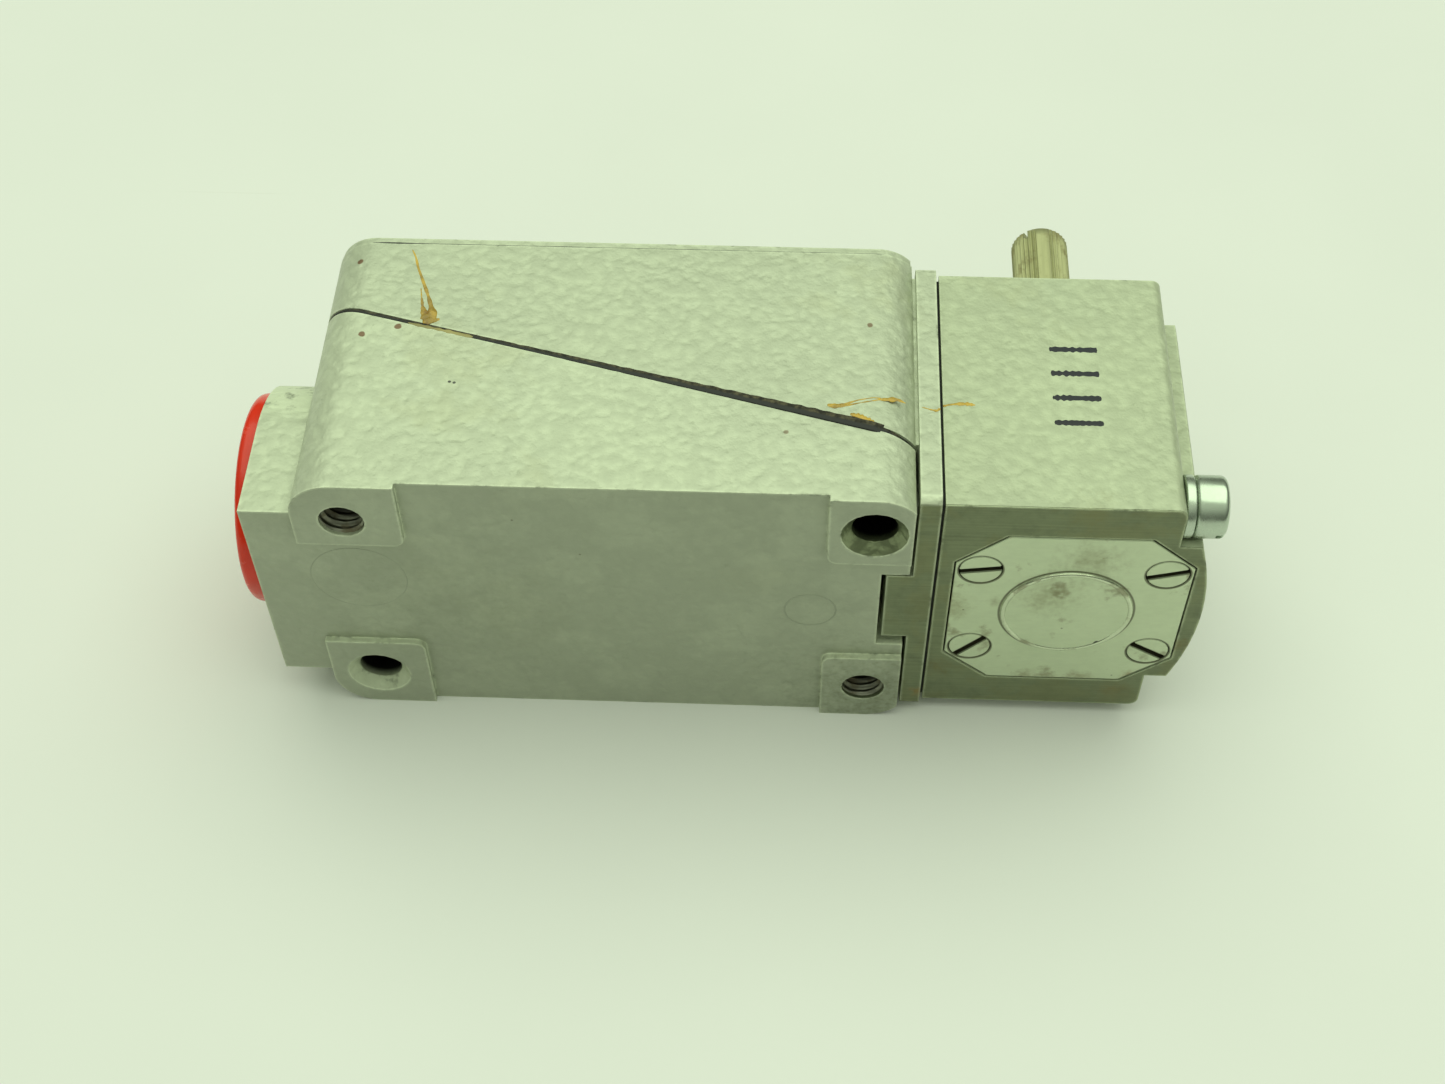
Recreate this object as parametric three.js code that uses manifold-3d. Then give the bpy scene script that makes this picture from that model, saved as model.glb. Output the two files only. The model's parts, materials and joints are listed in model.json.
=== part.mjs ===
// Heavy-duty plug-in limit switch with a rotary head, lying on its side.
//
// The model is laid out in working axes: X runs along the switch from the
// conduit end to the head, Y runs from the mounting plane to the tip of the
// shaft, Z is up, and X = Z = 0 is the middle of the mounting-hole pattern.
// The exported group then moves the origin to the middle of the underside.
// All lengths are in millimetres.

import * as THREE from 'three';
import { mergeVertices } from 'three/addons/utils/BufferGeometryUtils.js';
import Module from 'manifold-3d';

const wasm = await Module();
wasm.setup();

// ---------------------------------------------------------------- dimensions

// Mounting pattern and receptacle (base) casting.
const HOLE_PITCH_X = 59.5;
const HOLE_PITCH_Z = 30.2;
const HALF_WIDTH = 21.2;
const PAD_HEIGHT = 0.8;
const PAD_CORNER_R = 1.2;
// Inner corner (X, Z) of each pad, which runs from there to the body's own corner.
const PAD_INNER_CORNERS = [[-23.2, 10.8], [-23.4, -8.6], [24.6, 9.8], [24.6, -9]];
const BODY_LEFT = -35.5;
const BODY_RIGHT = 34.1;
const BODY_DEPTH = 39;
const CORNER_LEFT = 5.2;
const CORNER_RIGHT = 5.4;
const CORNER_RIGHT_REACH = 4.2;
const SCREW_HOLE_R = 2.6;
const COUNTERSINK_R = 3.9;
const TAPPED_DEPTH = 6.5;

// Sloping parting plane: Y of the plane at X = 0, its slope, and its gap.
const SEAM_Y = 18.2;
const SEAM_SLOPE = -0.266;
const SEAM_GAP = 0.6;

// Conduit boss on the left end and its thread plug.
const BOSS_LEFT = -41.6;
const BOSS_R = 15.5;
const BOSS_CENTRE_Y = 12.7;
const CONDUIT_Y = 15.2;
const CONDUIT_R = 9.6;
const PLUG_R = 12.7;
const PLUG_OUTER = -44.4;
const PLUG_INNER = -31;

// Wiring space in the base and the insert that holds the terminals.
const WALL_LEFT = -31.5;
const BASE_CAVITY_RIGHT = 28;
const BASE_CAVITY_HALF = 11.5;
const BASE_FLOOR = 4;
const BLOCK_LEFT = -15;
const BLOCK_RIGHT = 25;
const BLOCK_TOP = 9;
const BLOCK_HALF = 11.2;
const RIB_RIGHT = -2;
const RIB_HEIGHT = 4.5;
const TERMINAL_X = -11;
const TERMINAL_ZS = [-8.4, -2.8, 2.8, 8.4];
const TERMINAL_HEAD_R = 2;
const TERMINAL_HEAD = 1.6;
const TERMINAL_SHANK_R = 1.2;
const TERMINAL_SHANK = 2.8;
const TERMINAL_HOLE_R = 1.35;
const JAW_X = 4;
const JAW_HALF_X = 2.5;
const JAW_HALF_Z = 1.9;
const JAW_THICK = 0.6;
const JAW_TOP = 14.5;
const BLADE_HALF = 0.4;
const BLADE_HALF_X = 1.8;

// Switch body: flange, locating tab, contact chamber, cover on the far face.
const FLANGE_LEFT = 34.5;
const FLANGE_RIGHT = 36.9;
const FLANGE_NEAR = 0.9;
const FLANGE_FAR = 37.2;
const FLANGE_HALF = 20.3;
const FLANGE_CORNER_R = 1.4;
const BRIDGE_HALF = 19;
const TAB_LEFT = 31.5;
const TAB_LOW = -5.2;
const TAB_HIGH = 6.7;
const TAB_FAR = 16;
const NOTCH_LEFT = 30.9;
const NOTCH_LOW = -6.8;
const NOTCH_HIGH = 7;
const COVER_THICKNESS = 1;
const CHAMBER_LEFT = -29;
const CHAMBER_RIGHT = 29;
const CHAMBER_TOP = 35.3;
const CHAMBER_HALF = 13;
const CAPTIVE_X = 0;
const CAPTIVE_Z = 17;
const CAPTIVE_HEAD_R = 3;
const CAPTIVE_HEAD = 2.4;
const CAPTIVE_SINK = 2.6;
const CAPTIVE_SHANK_R = 1.5;
const CAPTIVE_TIP = 12;
const CAPTIVE_THREAD_END = 8;

// Contact block, its moving carrier and its contacts.
const CASE_LEFT = -14;
const CASE_RIGHT = 28.6;
const CASE_NEAR = 17;
const CASE_FAR = 35.2;
const CASE_HALF = 12.4;
const SHELL = 1.2;
const ROOM_LEFT = -8;
const ROOM_RIGHT = 26.6;
const ROOM_HALF = 10.4;
const ROOM_FAR = 33;
const CARRIER_LEFT = 3;
const CARRIER_RIGHT = 17;
const CARRIER_HALF = 3.6;
const COLLAR_LEFT = 23.6;
const COLLAR_THICKNESS = 1.4;
const COLLAR_R = 3.6;
const BRIDGE_XS = [6.5, 13.5];
const BRIDGE_THICK_HALF = 0.4;
const BRIDGE_REACH = 9;
const CONTACT_GAP = 0.1;
const CONTACT_THICKNESS = 0.8;
const CONTACT_INNER = 6;

// Plunger line from the head into the switch body.
const PLUNGER_Y = 26;
const PLUNGER_R = 2.5;
const TRAVEL = 2.6;
const TRAVEL_ANGLE = Math.PI / 3;
const CARRIER_TRAVEL = TRAVEL / 2;
const SEAL_R = 5.4;
const SEAL_THICKNESS = 1.5;

// Operating head.
const HEAD_LEFT = 37.3;
const HEAD_RIGHT = 63.8;
const HEAD_NEAR = 1.4;
const HEAD_FAR = 36.6;
const HEAD_HALF = 19.2;
const HEAD_CORNER_R = 1.2;
const ARCH_RIGHT = 68.4;
const ARCH_SIDE_X = 66.4;
const ARCH_HALF = 12.8;
const ARCH_FAR = 35.5;
const SHAFT_X = 52.75;
const HEAD_CHAMBER_R = 9.5;
const HEAD_CHAMBER_FAR = 31;
const HEAD_BOSS_R = 9;
const HEAD_BOSS_FAR = 42.4;

// Octagonal cover plate and its screws.
const PLATE_HALF_X = 13.7;
const PLATE_HALF_Z = 14;
const PLATE_CHAMFER_X = 5.6;
const PLATE_CHAMFER_Z = 5;
const PLATE_THICKNESS = 1.6;
const PLATE_GASKET = 0.8;
const PLATE_POCKET = PLATE_THICKNESS + PLATE_GASKET;
const PLATE_GAP = 0.2;
const PLATE_DISC_R = 7.65;
const PLATE_DISC_HEIGHT = 0.25;
const PLATE_SCREW_X = 10.6;
const PLATE_SCREW_Z = 7.6;
const PLATE_SCREW_HEAD_R = 2.45;
const PLATE_SCREW_R = 1.45;
const PLATE_SCREW_HEAD = 1.1;
const PLATE_SCREW_BITE = 5;
const PLATE_SLOT_DEPTH = 0.6;
const PLATE_SLOT_WIDTH = 0.75;
const PLATE_SLOT_ANGLES = [-0.17, -0.3, -0.83, 0.57];

// Shaft, bearings and cam.
const SHAFT_R = 3.7;
const SHAFT_NEAR = 4.8;
const SHAFT_FAR = 62;
const SPLINE_NEAR = 44.5;
const SPLINE_DEPTH = 0.28;
const SPLINE_TEETH = 30;
const SPLINE_PLAIN_HALF = 0.3;
const SHAFT_CHAMFER = 0.6;
const KERF_DEPTH = 1.6;
const KERF_WIDTH = 0.7;
const KERF_ANGLE = 0.9;
const RUNNING_FIT = 0.06;
const BUSH_R = 5.6;
const FAR_BUSH_END = 39;
const FAR_BUSH_FLANGE_R = 7.5;
const NEAR_BUSH_START = 5.2;
const NEAR_BUSH_FLANGE_END = 9.2;
const NEAR_BUSH_END = 10;
const O_RING_WIRE_R = 0.85;
const CAM_NEAR = 21.5;
const CAM_FAR = 29.5;
const CAM_ROOT_R = 4.9;
const CAM_TIP_RANGE = 75 * Math.PI / 180;
const CAM_RISE = TRAVEL / TRAVEL_ANGLE;
const PIN_R = 0.8;
const TAPPET_R = 3.3;
const TAPPET_FOOT_R = PLUNGER_R - 0.3;
const TAPPET_TIP_R = 1.2;
const TAPPET_TIP_GAP = 0.14;

// Fasteners of the head.
const HEAD_SCREW_Y = 5;
const HEAD_SCREW_Z = 15.7;
const HEAD_SCREW_R = 1.9;
const HEAD_SCREW_HEAD_R = 3.55;
const HEAD_SCREW_HEAD = 3.9;
const HEAD_SCREW_EDGE = 0.9;
const HEAD_SLOT_DEPTH = 1.4;
const HEAD_SLOT_WIDTH = 0.9;
const HEAD_SLOT_ANGLE = 0.336;
const WASHER_R = 3.6;
const WASHER_THICKNESS = 1.15;

// Facets round a full circle on large, medium and small round features.
const COARSE = 12;
const MEDIUM = 20;
const FINE = 36;

// ------------------------------------------------------------------ finishes

function finish(color, roughness, metalness) {
  return new THREE.MeshStandardMaterial({ color, roughness, metalness });
}

const HAMMERED_PAINT = finish(0xb4bda6, 0.42, 0.35);
const BRIGHT_PLATE = finish(0xc9ccc0, 0.3, 0.95);
const STEEL = finish(0xa8aaa2, 0.35, 1);
const SHAFT_STEEL = finish(0x9c9a78, 0.4, 1);
const BRONZE = finish(0xa9854f, 0.45, 1);
const BRASS = finish(0xc4a256, 0.35, 1);
const SILVER = finish(0xd8d8d4, 0.3, 1);
const SPRING_STEEL = finish(0x77797a, 0.35, 1);
const BLACK_RUBBER = finish(0x17181a, 0.8, 0);
const BLACK_PHENOLIC = finish(0x22201e, 0.5, 0);
const RED_PLASTIC = finish(0xe03a18, 0.3, 0);

// -------------------------------------------------------------- solid helpers

// A closed three.js geometry as a solid that can be joined and cut.
function solid(geometry) {
  const bare = geometry.clone();
  bare.deleteAttribute('normal');
  bare.deleteAttribute('uv');
  const merged = mergeVertices(bare, 1e-4);
  return new wasm.Manifold(new wasm.Mesh({
    numProp: 3,
    vertProperties: new Float32Array(merged.attributes.position.array),
    triVerts: new Uint32Array(merged.index.array),
  }));
}

function geometryOf(manifold) {
  const mesh = manifold.getMesh();
  const geometry = new THREE.BufferGeometry();
  geometry.setAttribute('position', new THREE.BufferAttribute(mesh.vertProperties, 3));
  geometry.setIndex(new THREE.BufferAttribute(mesh.triVerts, 1));
  return geometry;
}

// Directions in which a flat outline's own x, its own y and its depth run.
const FRAMES = {
  x: new THREE.Matrix4().makeBasis(
    new THREE.Vector3(0, 1, 0), new THREE.Vector3(0, 0, 1), new THREE.Vector3(1, 0, 0)),
  y: new THREE.Matrix4().makeBasis(
    new THREE.Vector3(1, 0, 0), new THREE.Vector3(0, 0, 1), new THREE.Vector3(0, -1, 0)),
  z: new THREE.Matrix4(),
};

// An outline drawn in (Y, Z), (X, Z) or (X, Y) carried along X, Y or Z.
function prism(shape, axis, from, to, curveSegments = 8) {
  const depth = to - from;
  const geometry = new THREE.ExtrudeGeometry(shape, { depth, curveSegments, bevelEnabled: false });
  geometry.translate(0, 0, axis === 'y' ? -to : from);
  geometry.applyMatrix4(FRAMES[axis]);
  return solid(geometry);
}

function box(low, high) {
  const size = high.map((value, i) => value - low[i]);
  const geometry = new THREE.BoxGeometry(...size);
  geometry.translate(...low.map((value, i) => value + size[i] / 2));
  return solid(geometry);
}

// A round bar, or a cone frustum, along an axis; at holds the other two places.
function rod(axis, at, from, to, radius, segments = MEDIUM, radiusTo = radius) {
  const geometry = new THREE.CylinderGeometry(radiusTo, radius, to - from, segments);
  geometry.translate(0, (from + to) / 2, 0);
  if (axis === 'x') {
    geometry.rotateZ(-Math.PI / 2);
    geometry.translate(0, at[0], at[1]);
  } else if (axis === 'z') {
    geometry.rotateX(Math.PI / 2);
    geometry.translate(at[0], at[1], 0);
  } else {
    geometry.translate(at[0], 0, at[1]);
  }
  return solid(geometry);
}

function tube(axis, at, from, to, outer, inner, segments = MEDIUM) {
  const past = 0.5;
  const bore = rod(axis, at, from - past, to + past, inner, segments);
  return rod(axis, at, from, to, outer, segments).subtract(bore);
}

function polygon(points) {
  return new THREE.Shape(points.map(([u, v]) => new THREE.Vector2(u, v)));
}

function slotCut(axis, at, face, depth, length, width, angle) {
  const cut = new THREE.BoxGeometry(length, depth * 2, width);
  if (axis === 'x') {
    cut.rotateZ(Math.PI / 2);
    cut.rotateX(angle);
    cut.translate(face, at[0], at[1]);
  } else {
    cut.rotateY(angle);
    cut.translate(at[0], face, at[1]);
  }
  return solid(cut);
}

// A closed helical wire round an axis that runs along X or Y.
class Helix extends THREE.Curve {
  constructor(axis, at, from, to, radius, turns) {
    super();
    Object.assign(this, { axis, at, from, to, radius, turns });
  }

  getPoint(t, target = new THREE.Vector3()) {
    const along = this.from + (this.to - this.from) * t;
    const angle = t * this.turns * 2 * Math.PI;
    const u = this.at[0] + this.radius * Math.cos(angle);
    const v = this.at[1] + this.radius * Math.sin(angle);
    return this.axis === 'x' ? target.set(along, u, v) : target.set(u, along, v);
  }
}

function coilSpring(helix, wireR) {
  const section = new THREE.Shape();
  section.absarc(0, 0, wireR, 0, 2 * Math.PI, false);
  const stepsPerTurn = 10;
  const steps = Math.round(helix.turns * stepsPerTurn);
  const options = { steps, curveSegments: 3, bevelEnabled: false, extrudePath: helix };
  return solid(new THREE.ExtrudeGeometry(section, options));
}

const switchGroup = new THREE.Group();

function add(name, shape, material) {
  const geometry = geometryOf(shape);
  const mesh = new THREE.Mesh(geometry, material);
  mesh.name = name;
  switchGroup.add(mesh);
  return mesh;
}

// ------------------------------------------------------------ shared outlines

// Y of the parting plane at X.
function seamAt(x) {
  return SEAM_Y + SEAM_SLOPE * x;
}

// Everything on the mounting side of the parting plane, moved by an offset.
function belowSeam(offset) {
  const far = 90;
  return prism(polygon([
    [-far, -far],
    [far, -far],
    [far, seamAt(far) + offset],
    [-far, seamAt(-far) + offset],
  ]), 'z', -far, far);
}

// Outline of base and switch body seen along Y: rounded at the left, and
// rounded at the right until the flat end cuts the corner off.
function bodyOutline(inset = 0) {
  const left = BODY_LEFT + inset;
  const right = BODY_RIGHT - inset;
  const half = HALF_WIDTH - inset;
  const centreX = BODY_RIGHT - CORNER_RIGHT_REACH;
  const centreZ = HALF_WIDTH - CORNER_RIGHT;
  const cornerR = CORNER_RIGHT - inset;
  const cut = Math.acos((right - centreX) / cornerR);
  const leftR = CORNER_LEFT - inset;
  const shape = new THREE.Shape();
  shape.moveTo(left + leftR, -half);
  shape.lineTo(centreX, -half);
  shape.absarc(centreX, -centreZ, cornerR, -Math.PI / 2, -cut, false);
  shape.absarc(centreX, centreZ, cornerR, cut, Math.PI / 2, false);
  shape.lineTo(left + leftR, half);
  shape.absarc(left + leftR, half - leftR, leftR, Math.PI / 2, Math.PI, false);
  shape.absarc(left + leftR, -half + leftR, leftR, Math.PI, 1.5 * Math.PI, false);
  return shape;
}

function octagon(inset = 0) {
  const halfX = PLATE_HALF_X - inset;
  const halfZ = PLATE_HALF_Z - inset;
  const points = [];
  for (const [signX, signZ] of [[1, 1], [-1, 1], [-1, -1], [1, -1]]) {
    const corner = [
      [signX * halfX, signZ * (halfZ - PLATE_CHAMFER_Z)],
      [signX * (halfX - PLATE_CHAMFER_X), signZ * halfZ],
    ];
    points.push(...(signX * signZ > 0 ? corner : corner.reverse()));
  }
  return polygon(points.map(([u, v]) => [SHAFT_X + u, v]));
}

const TAPPED_HOLES = [[-1, 1], [1, -1]];
const CLEARANCE_HOLES = [[1, 1], [-1, -1]];
const PLATE_SCREWS = [[-1, 1], [1, 1], [-1, -1], [1, -1]];
const HEAD_SCREWS = [
  [HEAD_SCREW_Y, HEAD_SCREW_Z],
  [HEAD_NEAR + HEAD_FAR - HEAD_SCREW_Y, -HEAD_SCREW_Z],
];

function holeCentre([signX, signZ]) {
  return [signX * HOLE_PITCH_X / 2, signZ * HOLE_PITCH_Z / 2];
}

// ----------------------------------------------------------- receptacle (base)

// Room of one pad: from its rounded inner corner out past the body's corner.
function padRoom([x, z]) {
  const past = 1;
  const outX = Math.sign(x) * (-BODY_LEFT + past);
  const outZ = Math.sign(z) * (HALF_WIDTH + past);
  const roundX = x + Math.sign(x) * PAD_CORNER_R;
  const roundZ = z + Math.sign(z) * PAD_CORNER_R;
  const block = (fromX, fromZ) => box(
    [Math.min(fromX, outX), -past, Math.min(fromZ, outZ)],
    [Math.max(fromX, outX), PAD_HEIGHT + past, Math.max(fromZ, outZ)]);
  return block(roundX, z)
    .add(block(x, roundZ))
    .add(rod('y', [roundX, roundZ], -past, PAD_HEIGHT + past, PAD_CORNER_R, MEDIUM));
}

// Four raised pads on the mounting face, each a corner of the body outline.
function mountingPads() {
  const slab = prism(bodyOutline(), 'y', 0, PAD_HEIGHT + 0.5, 6);
  return slab.intersect(PAD_INNER_CORNERS.map(padRoom).reduce((all, room) => all.add(room)));
}

function conduitBoss() {
  const overlap = 2;
  const shape = new THREE.Shape();
  shape.moveTo(PAD_HEIGHT, -BOSS_R);
  shape.lineTo(BOSS_CENTRE_Y, -BOSS_R);
  shape.absarc(BOSS_CENTRE_Y, 0, BOSS_R, -Math.PI / 2, Math.PI / 2, false);
  shape.lineTo(PAD_HEIGHT, BOSS_R);
  return prism(shape, 'x', BOSS_LEFT, BODY_LEFT + overlap, 16);
}

function mountingHoleCuts() {
  const cuts = TAPPED_HOLES.map((corner) => (
    rod('y', holeCentre(corner), -1, TAPPED_DEPTH, SCREW_HOLE_R, MEDIUM)));
  const depth = COUNTERSINK_R - SCREW_HOLE_R;
  for (const corner of CLEARANCE_HOLES) {
    const at = holeCentre(corner);
    cuts.push(rod('y', at, -1, BODY_DEPTH, SCREW_HOLE_R, MEDIUM));
    cuts.push(rod('y', at, -1, depth, COUNTERSINK_R + 1, MEDIUM, SCREW_HOLE_R));
  }
  return cuts.reduce((all, cut) => all.add(cut));
}

function baseCavity() {
  const room = box(
    [WALL_LEFT, BASE_FLOOR, -BASE_CAVITY_HALF],
    [BASE_CAVITY_RIGHT, BODY_DEPTH, BASE_CAVITY_HALF]);
  const conduit = rod('x', [CONDUIT_Y, 0], BOSS_LEFT - 1, WALL_LEFT + 1, CONDUIT_R, FINE);
  const notch = box([NOTCH_LEFT, -1, NOTCH_LOW], [BODY_RIGHT + 1, BODY_DEPTH, NOTCH_HIGH]);
  return room.add(conduit).add(notch);
}

function baseHousing() {
  const block = prism(bodyOutline(), 'y', PAD_HEIGHT, BODY_DEPTH, 6);
  const captive = [-1, 1].map((side) => (
    rod('y', [CAPTIVE_X, side * CAPTIVE_Z], CAPTIVE_THREAD_END, BODY_DEPTH,
      CAPTIVE_SHANK_R + 0.1, COARSE)));
  return block
    .add(mountingPads())
    .add(conduitBoss())
    .intersect(belowSeam(0))
    .subtract(mountingHoleCuts())
    .subtract(baseCavity())
    .subtract(captive[0])
    .subtract(captive[1]);
}

function threadPlug() {
  const profile = [
    [0, PLUG_OUTER],
    [PLUG_R - 2.2, PLUG_OUTER],
    [PLUG_R - 0.7, PLUG_OUTER + 0.5],
    [PLUG_R, PLUG_OUTER + 1.4],
    [PLUG_R, BOSS_LEFT - 0.05],
    [CONDUIT_R - 0.1, BOSS_LEFT - 0.05],
    [CONDUIT_R - 0.6, PLUG_INNER - 3],
    [CONDUIT_R - 2, PLUG_INNER - 3],
    [CONDUIT_R - 2, BOSS_LEFT + 1],
    [0, BOSS_LEFT + 1],
  ];
  const points = profile.map(([r, x]) => new THREE.Vector2(r, x));
  const geometry = new THREE.LatheGeometry(points.reverse(), FINE);
  geometry.rotateZ(-Math.PI / 2);
  geometry.translate(0, CONDUIT_Y, 0);
  return positive(geometry);
}

// A lathe is turned inside out if its profile ran the other way round.
function positive(geometry) {
  const shape = solid(geometry);
  if (shape.volume() > 0) return shape;
  const { array } = geometry.index;
  for (let i = 0; i < array.length; i += 3) {
    [array[i], array[i + 1]] = [array[i + 1], array[i]];
  }
  return solid(geometry);
}

function terminalBlock() {
  const body = box([BLOCK_LEFT, BASE_FLOOR, -BLOCK_HALF], [BLOCK_RIGHT, BLOCK_TOP, BLOCK_HALF]);
  const ribs = TERMINAL_ZS.slice(1).map((z, i) => {
    const middle = (z + TERMINAL_ZS[i]) / 2;
    return box(
      [BLOCK_LEFT, BLOCK_TOP - 0.5, middle - 0.5],
      [RIB_RIGHT, BLOCK_TOP + RIB_HEIGHT, middle + 0.5]);
  });
  const depth = TERMINAL_SHANK + 0.4;
  const holes = TERMINAL_ZS.map((z) => (
    rod('y', [TERMINAL_X, z], BLOCK_TOP - depth, BLOCK_TOP + 1, TERMINAL_HOLE_R, COARSE)));
  const joined = ribs.reduce((all, rib) => all.add(rib), body);
  return holes.reduce((all, hole) => all.subtract(hole), joined);
}

function slottedScrew(at, seat, headR, headHeight, shankR, shankEnd, segments) {
  const tip = Math.min(seat, shankEnd);
  const neck = Math.max(seat, shankEnd);
  const top = seat > shankEnd ? seat + headHeight : seat - headHeight;
  const head = rod('y', at, Math.min(seat, top), Math.max(seat, top), headR, segments);
  const shank = rod('y', at, tip, neck, shankR, segments);
  const slot = slotCut('y', at, top, headHeight * 0.45, headR * 3, headR * 0.3, 0);
  return head.add(shank).subtract(slot);
}

function socketJaw(z) {
  const foot = box(
    [TERMINAL_X - 2.4, BLOCK_TOP, z - JAW_HALF_Z],
    [JAW_X + 4, BLOCK_TOP + JAW_THICK, z + JAW_HALF_Z]);
  const gap = BLADE_HALF + 0.15;
  const sides = [-1, 1].map((side) => {
    const inner = z + side * gap;
    const outer = z + side * (gap + JAW_THICK);
    return box(
      [JAW_X - JAW_HALF_X, BLOCK_TOP, Math.min(inner, outer)],
      [JAW_X + JAW_HALF_X, JAW_TOP, Math.max(inner, outer)]);
  });
  const hole = rod('y', [TERMINAL_X, z], BLOCK_TOP - 1, BLOCK_TOP + 2, TERMINAL_HOLE_R, COARSE);
  return foot.add(sides[0]).add(sides[1]).subtract(hole);
}

function buildBase() {
  add('base_housing', baseHousing(), HAMMERED_PAINT);
  add('conduit_thread_plug', threadPlug(), RED_PLASTIC);
  add('terminal_block', terminalBlock(), BLACK_PHENOLIC);
  TERMINAL_ZS.forEach((z, i) => {
    add(`socket_contact_${i + 1}`, socketJaw(z), BRASS);
    const seat = BLOCK_TOP + JAW_THICK;
    const screw = slottedScrew(
      [TERMINAL_X, z], seat, TERMINAL_HEAD_R, TERMINAL_HEAD, TERMINAL_SHANK_R,
      BLOCK_TOP - TERMINAL_SHANK, COARSE);
    add(`terminal_screw_${i + 1}`, screw, STEEL);
  });
}

// ------------------------------------------------------------------ switch body

function gasketOutline(inset) {
  return prism(bodyOutline(inset), 'y', 0, BODY_DEPTH, 6);
}

function wedgeGasket() {
  const band = belowSeam(SEAM_GAP).subtract(belowSeam(0));
  const rim = gasketOutline(0.35).intersect(band);
  const room = box([-24, 0, -BASE_CAVITY_HALF], [BASE_CAVITY_RIGHT, BODY_DEPTH, BASE_CAVITY_HALF]);
  const cuts = [-1, 1].map((side) => (
    rod('y', [CAPTIVE_X, side * CAPTIVE_Z], 0, BODY_DEPTH, 1.9, COARSE)));
  const notch = box([NOTCH_LEFT, 0, NOTCH_LOW], [BODY_RIGHT, BODY_DEPTH, NOTCH_HIGH]);
  return rim.subtract(room).subtract(notch).subtract(cuts[0]).subtract(cuts[1]);
}

function flange() {
  const shape = new THREE.Shape();
  const r = FLANGE_CORNER_R;
  const low = -FLANGE_HALF;
  shape.absarc(FLANGE_FAR - r, low + r, r, -Math.PI / 2, 0, false);
  shape.absarc(FLANGE_FAR - r, -low - r, r, 0, Math.PI / 2, false);
  shape.absarc(FLANGE_NEAR + r, -low - r, r, Math.PI / 2, Math.PI, false);
  shape.absarc(FLANGE_NEAR + r, low + r, r, Math.PI, 1.5 * Math.PI, false);
  return prism(shape, 'x', FLANGE_LEFT, FLANGE_RIGHT, 4);
}

function switchHousing() {
  const coverFace = BODY_DEPTH - COVER_THICKNESS;
  const line = [PLUNGER_Y, 0];
  const past = FLANGE_RIGHT + 1;
  const wedge = prism(bodyOutline(), 'y', PAD_HEIGHT, coverFace, 6).subtract(belowSeam(SEAM_GAP));
  const bridge = box(
    [BODY_RIGHT - 1, seamAt(BODY_RIGHT) + SEAM_GAP + 0.4, -BRIDGE_HALF],
    [FLANGE_LEFT + 1, FLANGE_FAR - 1, BRIDGE_HALF]);
  const tab = box([TAB_LEFT, FLANGE_NEAR, TAB_LOW], [FLANGE_RIGHT, TAB_FAR, TAB_HIGH]);
  const chamber = box([CHAMBER_LEFT, 0, -CHAMBER_HALF], [CHAMBER_RIGHT, CHAMBER_TOP, CHAMBER_HALF])
    .subtract(belowSeam(-30))
    .subtract(box([CHAMBER_RIGHT - 1, -1, -30], [60, 14.5, 30]));
  let shape = wedge.add(flange()).add(bridge).add(tab)
    .subtract(chamber)
    .subtract(rod('x', line, CHAMBER_RIGHT - 2, past, PLUNGER_R + 0.08, MEDIUM))
    .subtract(rod('x', line, FLANGE_RIGHT - SEAL_THICKNESS - 0.1, past, SEAL_R + 0.1, MEDIUM));
  for (const side of [-1, 1]) {
    const at = [CAPTIVE_X, side * CAPTIVE_Z];
    const seat = coverFace - CAPTIVE_SINK;
    shape = shape
      .subtract(rod('y', at, CAPTIVE_TIP - 2, BODY_DEPTH + 1, CAPTIVE_SHANK_R + 0.3, COARSE))
      .subtract(rod('y', at, seat, BODY_DEPTH + 1, CAPTIVE_HEAD_R + 0.2, MEDIUM));
  }
  for (const at of HEAD_SCREWS) {
    shape = shape.subtract(rod('x', at, FLANGE_LEFT - 4, past, HEAD_SCREW_R + 0.05, COARSE));
  }
  return shape;
}

function frontPlate() {
  const plate = prism(bodyOutline(0.15), 'y', BODY_DEPTH - COVER_THICKNESS, BODY_DEPTH, 6);
  const holes = [-1, 1].map((side) => (
    rod('y', [CAPTIVE_X, side * CAPTIVE_Z], BODY_DEPTH - 3, BODY_DEPTH + 1,
      CAPTIVE_HEAD_R + 0.2, MEDIUM)));
  return plate.subtract(holes[0]).subtract(holes[1]);
}

function captiveScrew(side) {
  const seat = BODY_DEPTH - COVER_THICKNESS - CAPTIVE_SINK;
  return slottedScrew(
    [CAPTIVE_X, side * CAPTIVE_Z], seat, CAPTIVE_HEAD_R, CAPTIVE_HEAD, CAPTIVE_SHANK_R,
    CAPTIVE_TIP, MEDIUM);
}

// Contact block: a tray, open on its far side, that holds the contacts.
function contactCase() {
  const clear = SEAM_GAP + 0.8;
  const body = box([CASE_LEFT, CASE_NEAR, -CASE_HALF], [CASE_RIGHT, CASE_FAR, CASE_HALF])
    .subtract(belowSeam(clear));
  const room = box(
    [ROOM_LEFT, CASE_NEAR + SHELL, -ROOM_HALF],
    [ROOM_RIGHT, CASE_FAR + 1, ROOM_HALF]).subtract(belowSeam(clear + SHELL));
  const passage = rod('x', [PLUNGER_Y, 0], ROOM_RIGHT - 1, CASE_RIGHT + 1, PLUNGER_R + 0.1, MEDIUM);
  const slots = TERMINAL_ZS.map((z) => box(
    [JAW_X - BLADE_HALF_X - 0.05, CASE_NEAR - 1, z - BLADE_HALF - 0.05],
    [JAW_X + BLADE_HALF_X + 0.05, CASE_NEAR + 5, z + BLADE_HALF + 0.05]));
  return slots.reduce((all, slot) => all.subtract(slot), body.subtract(room).subtract(passage));
}

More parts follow.
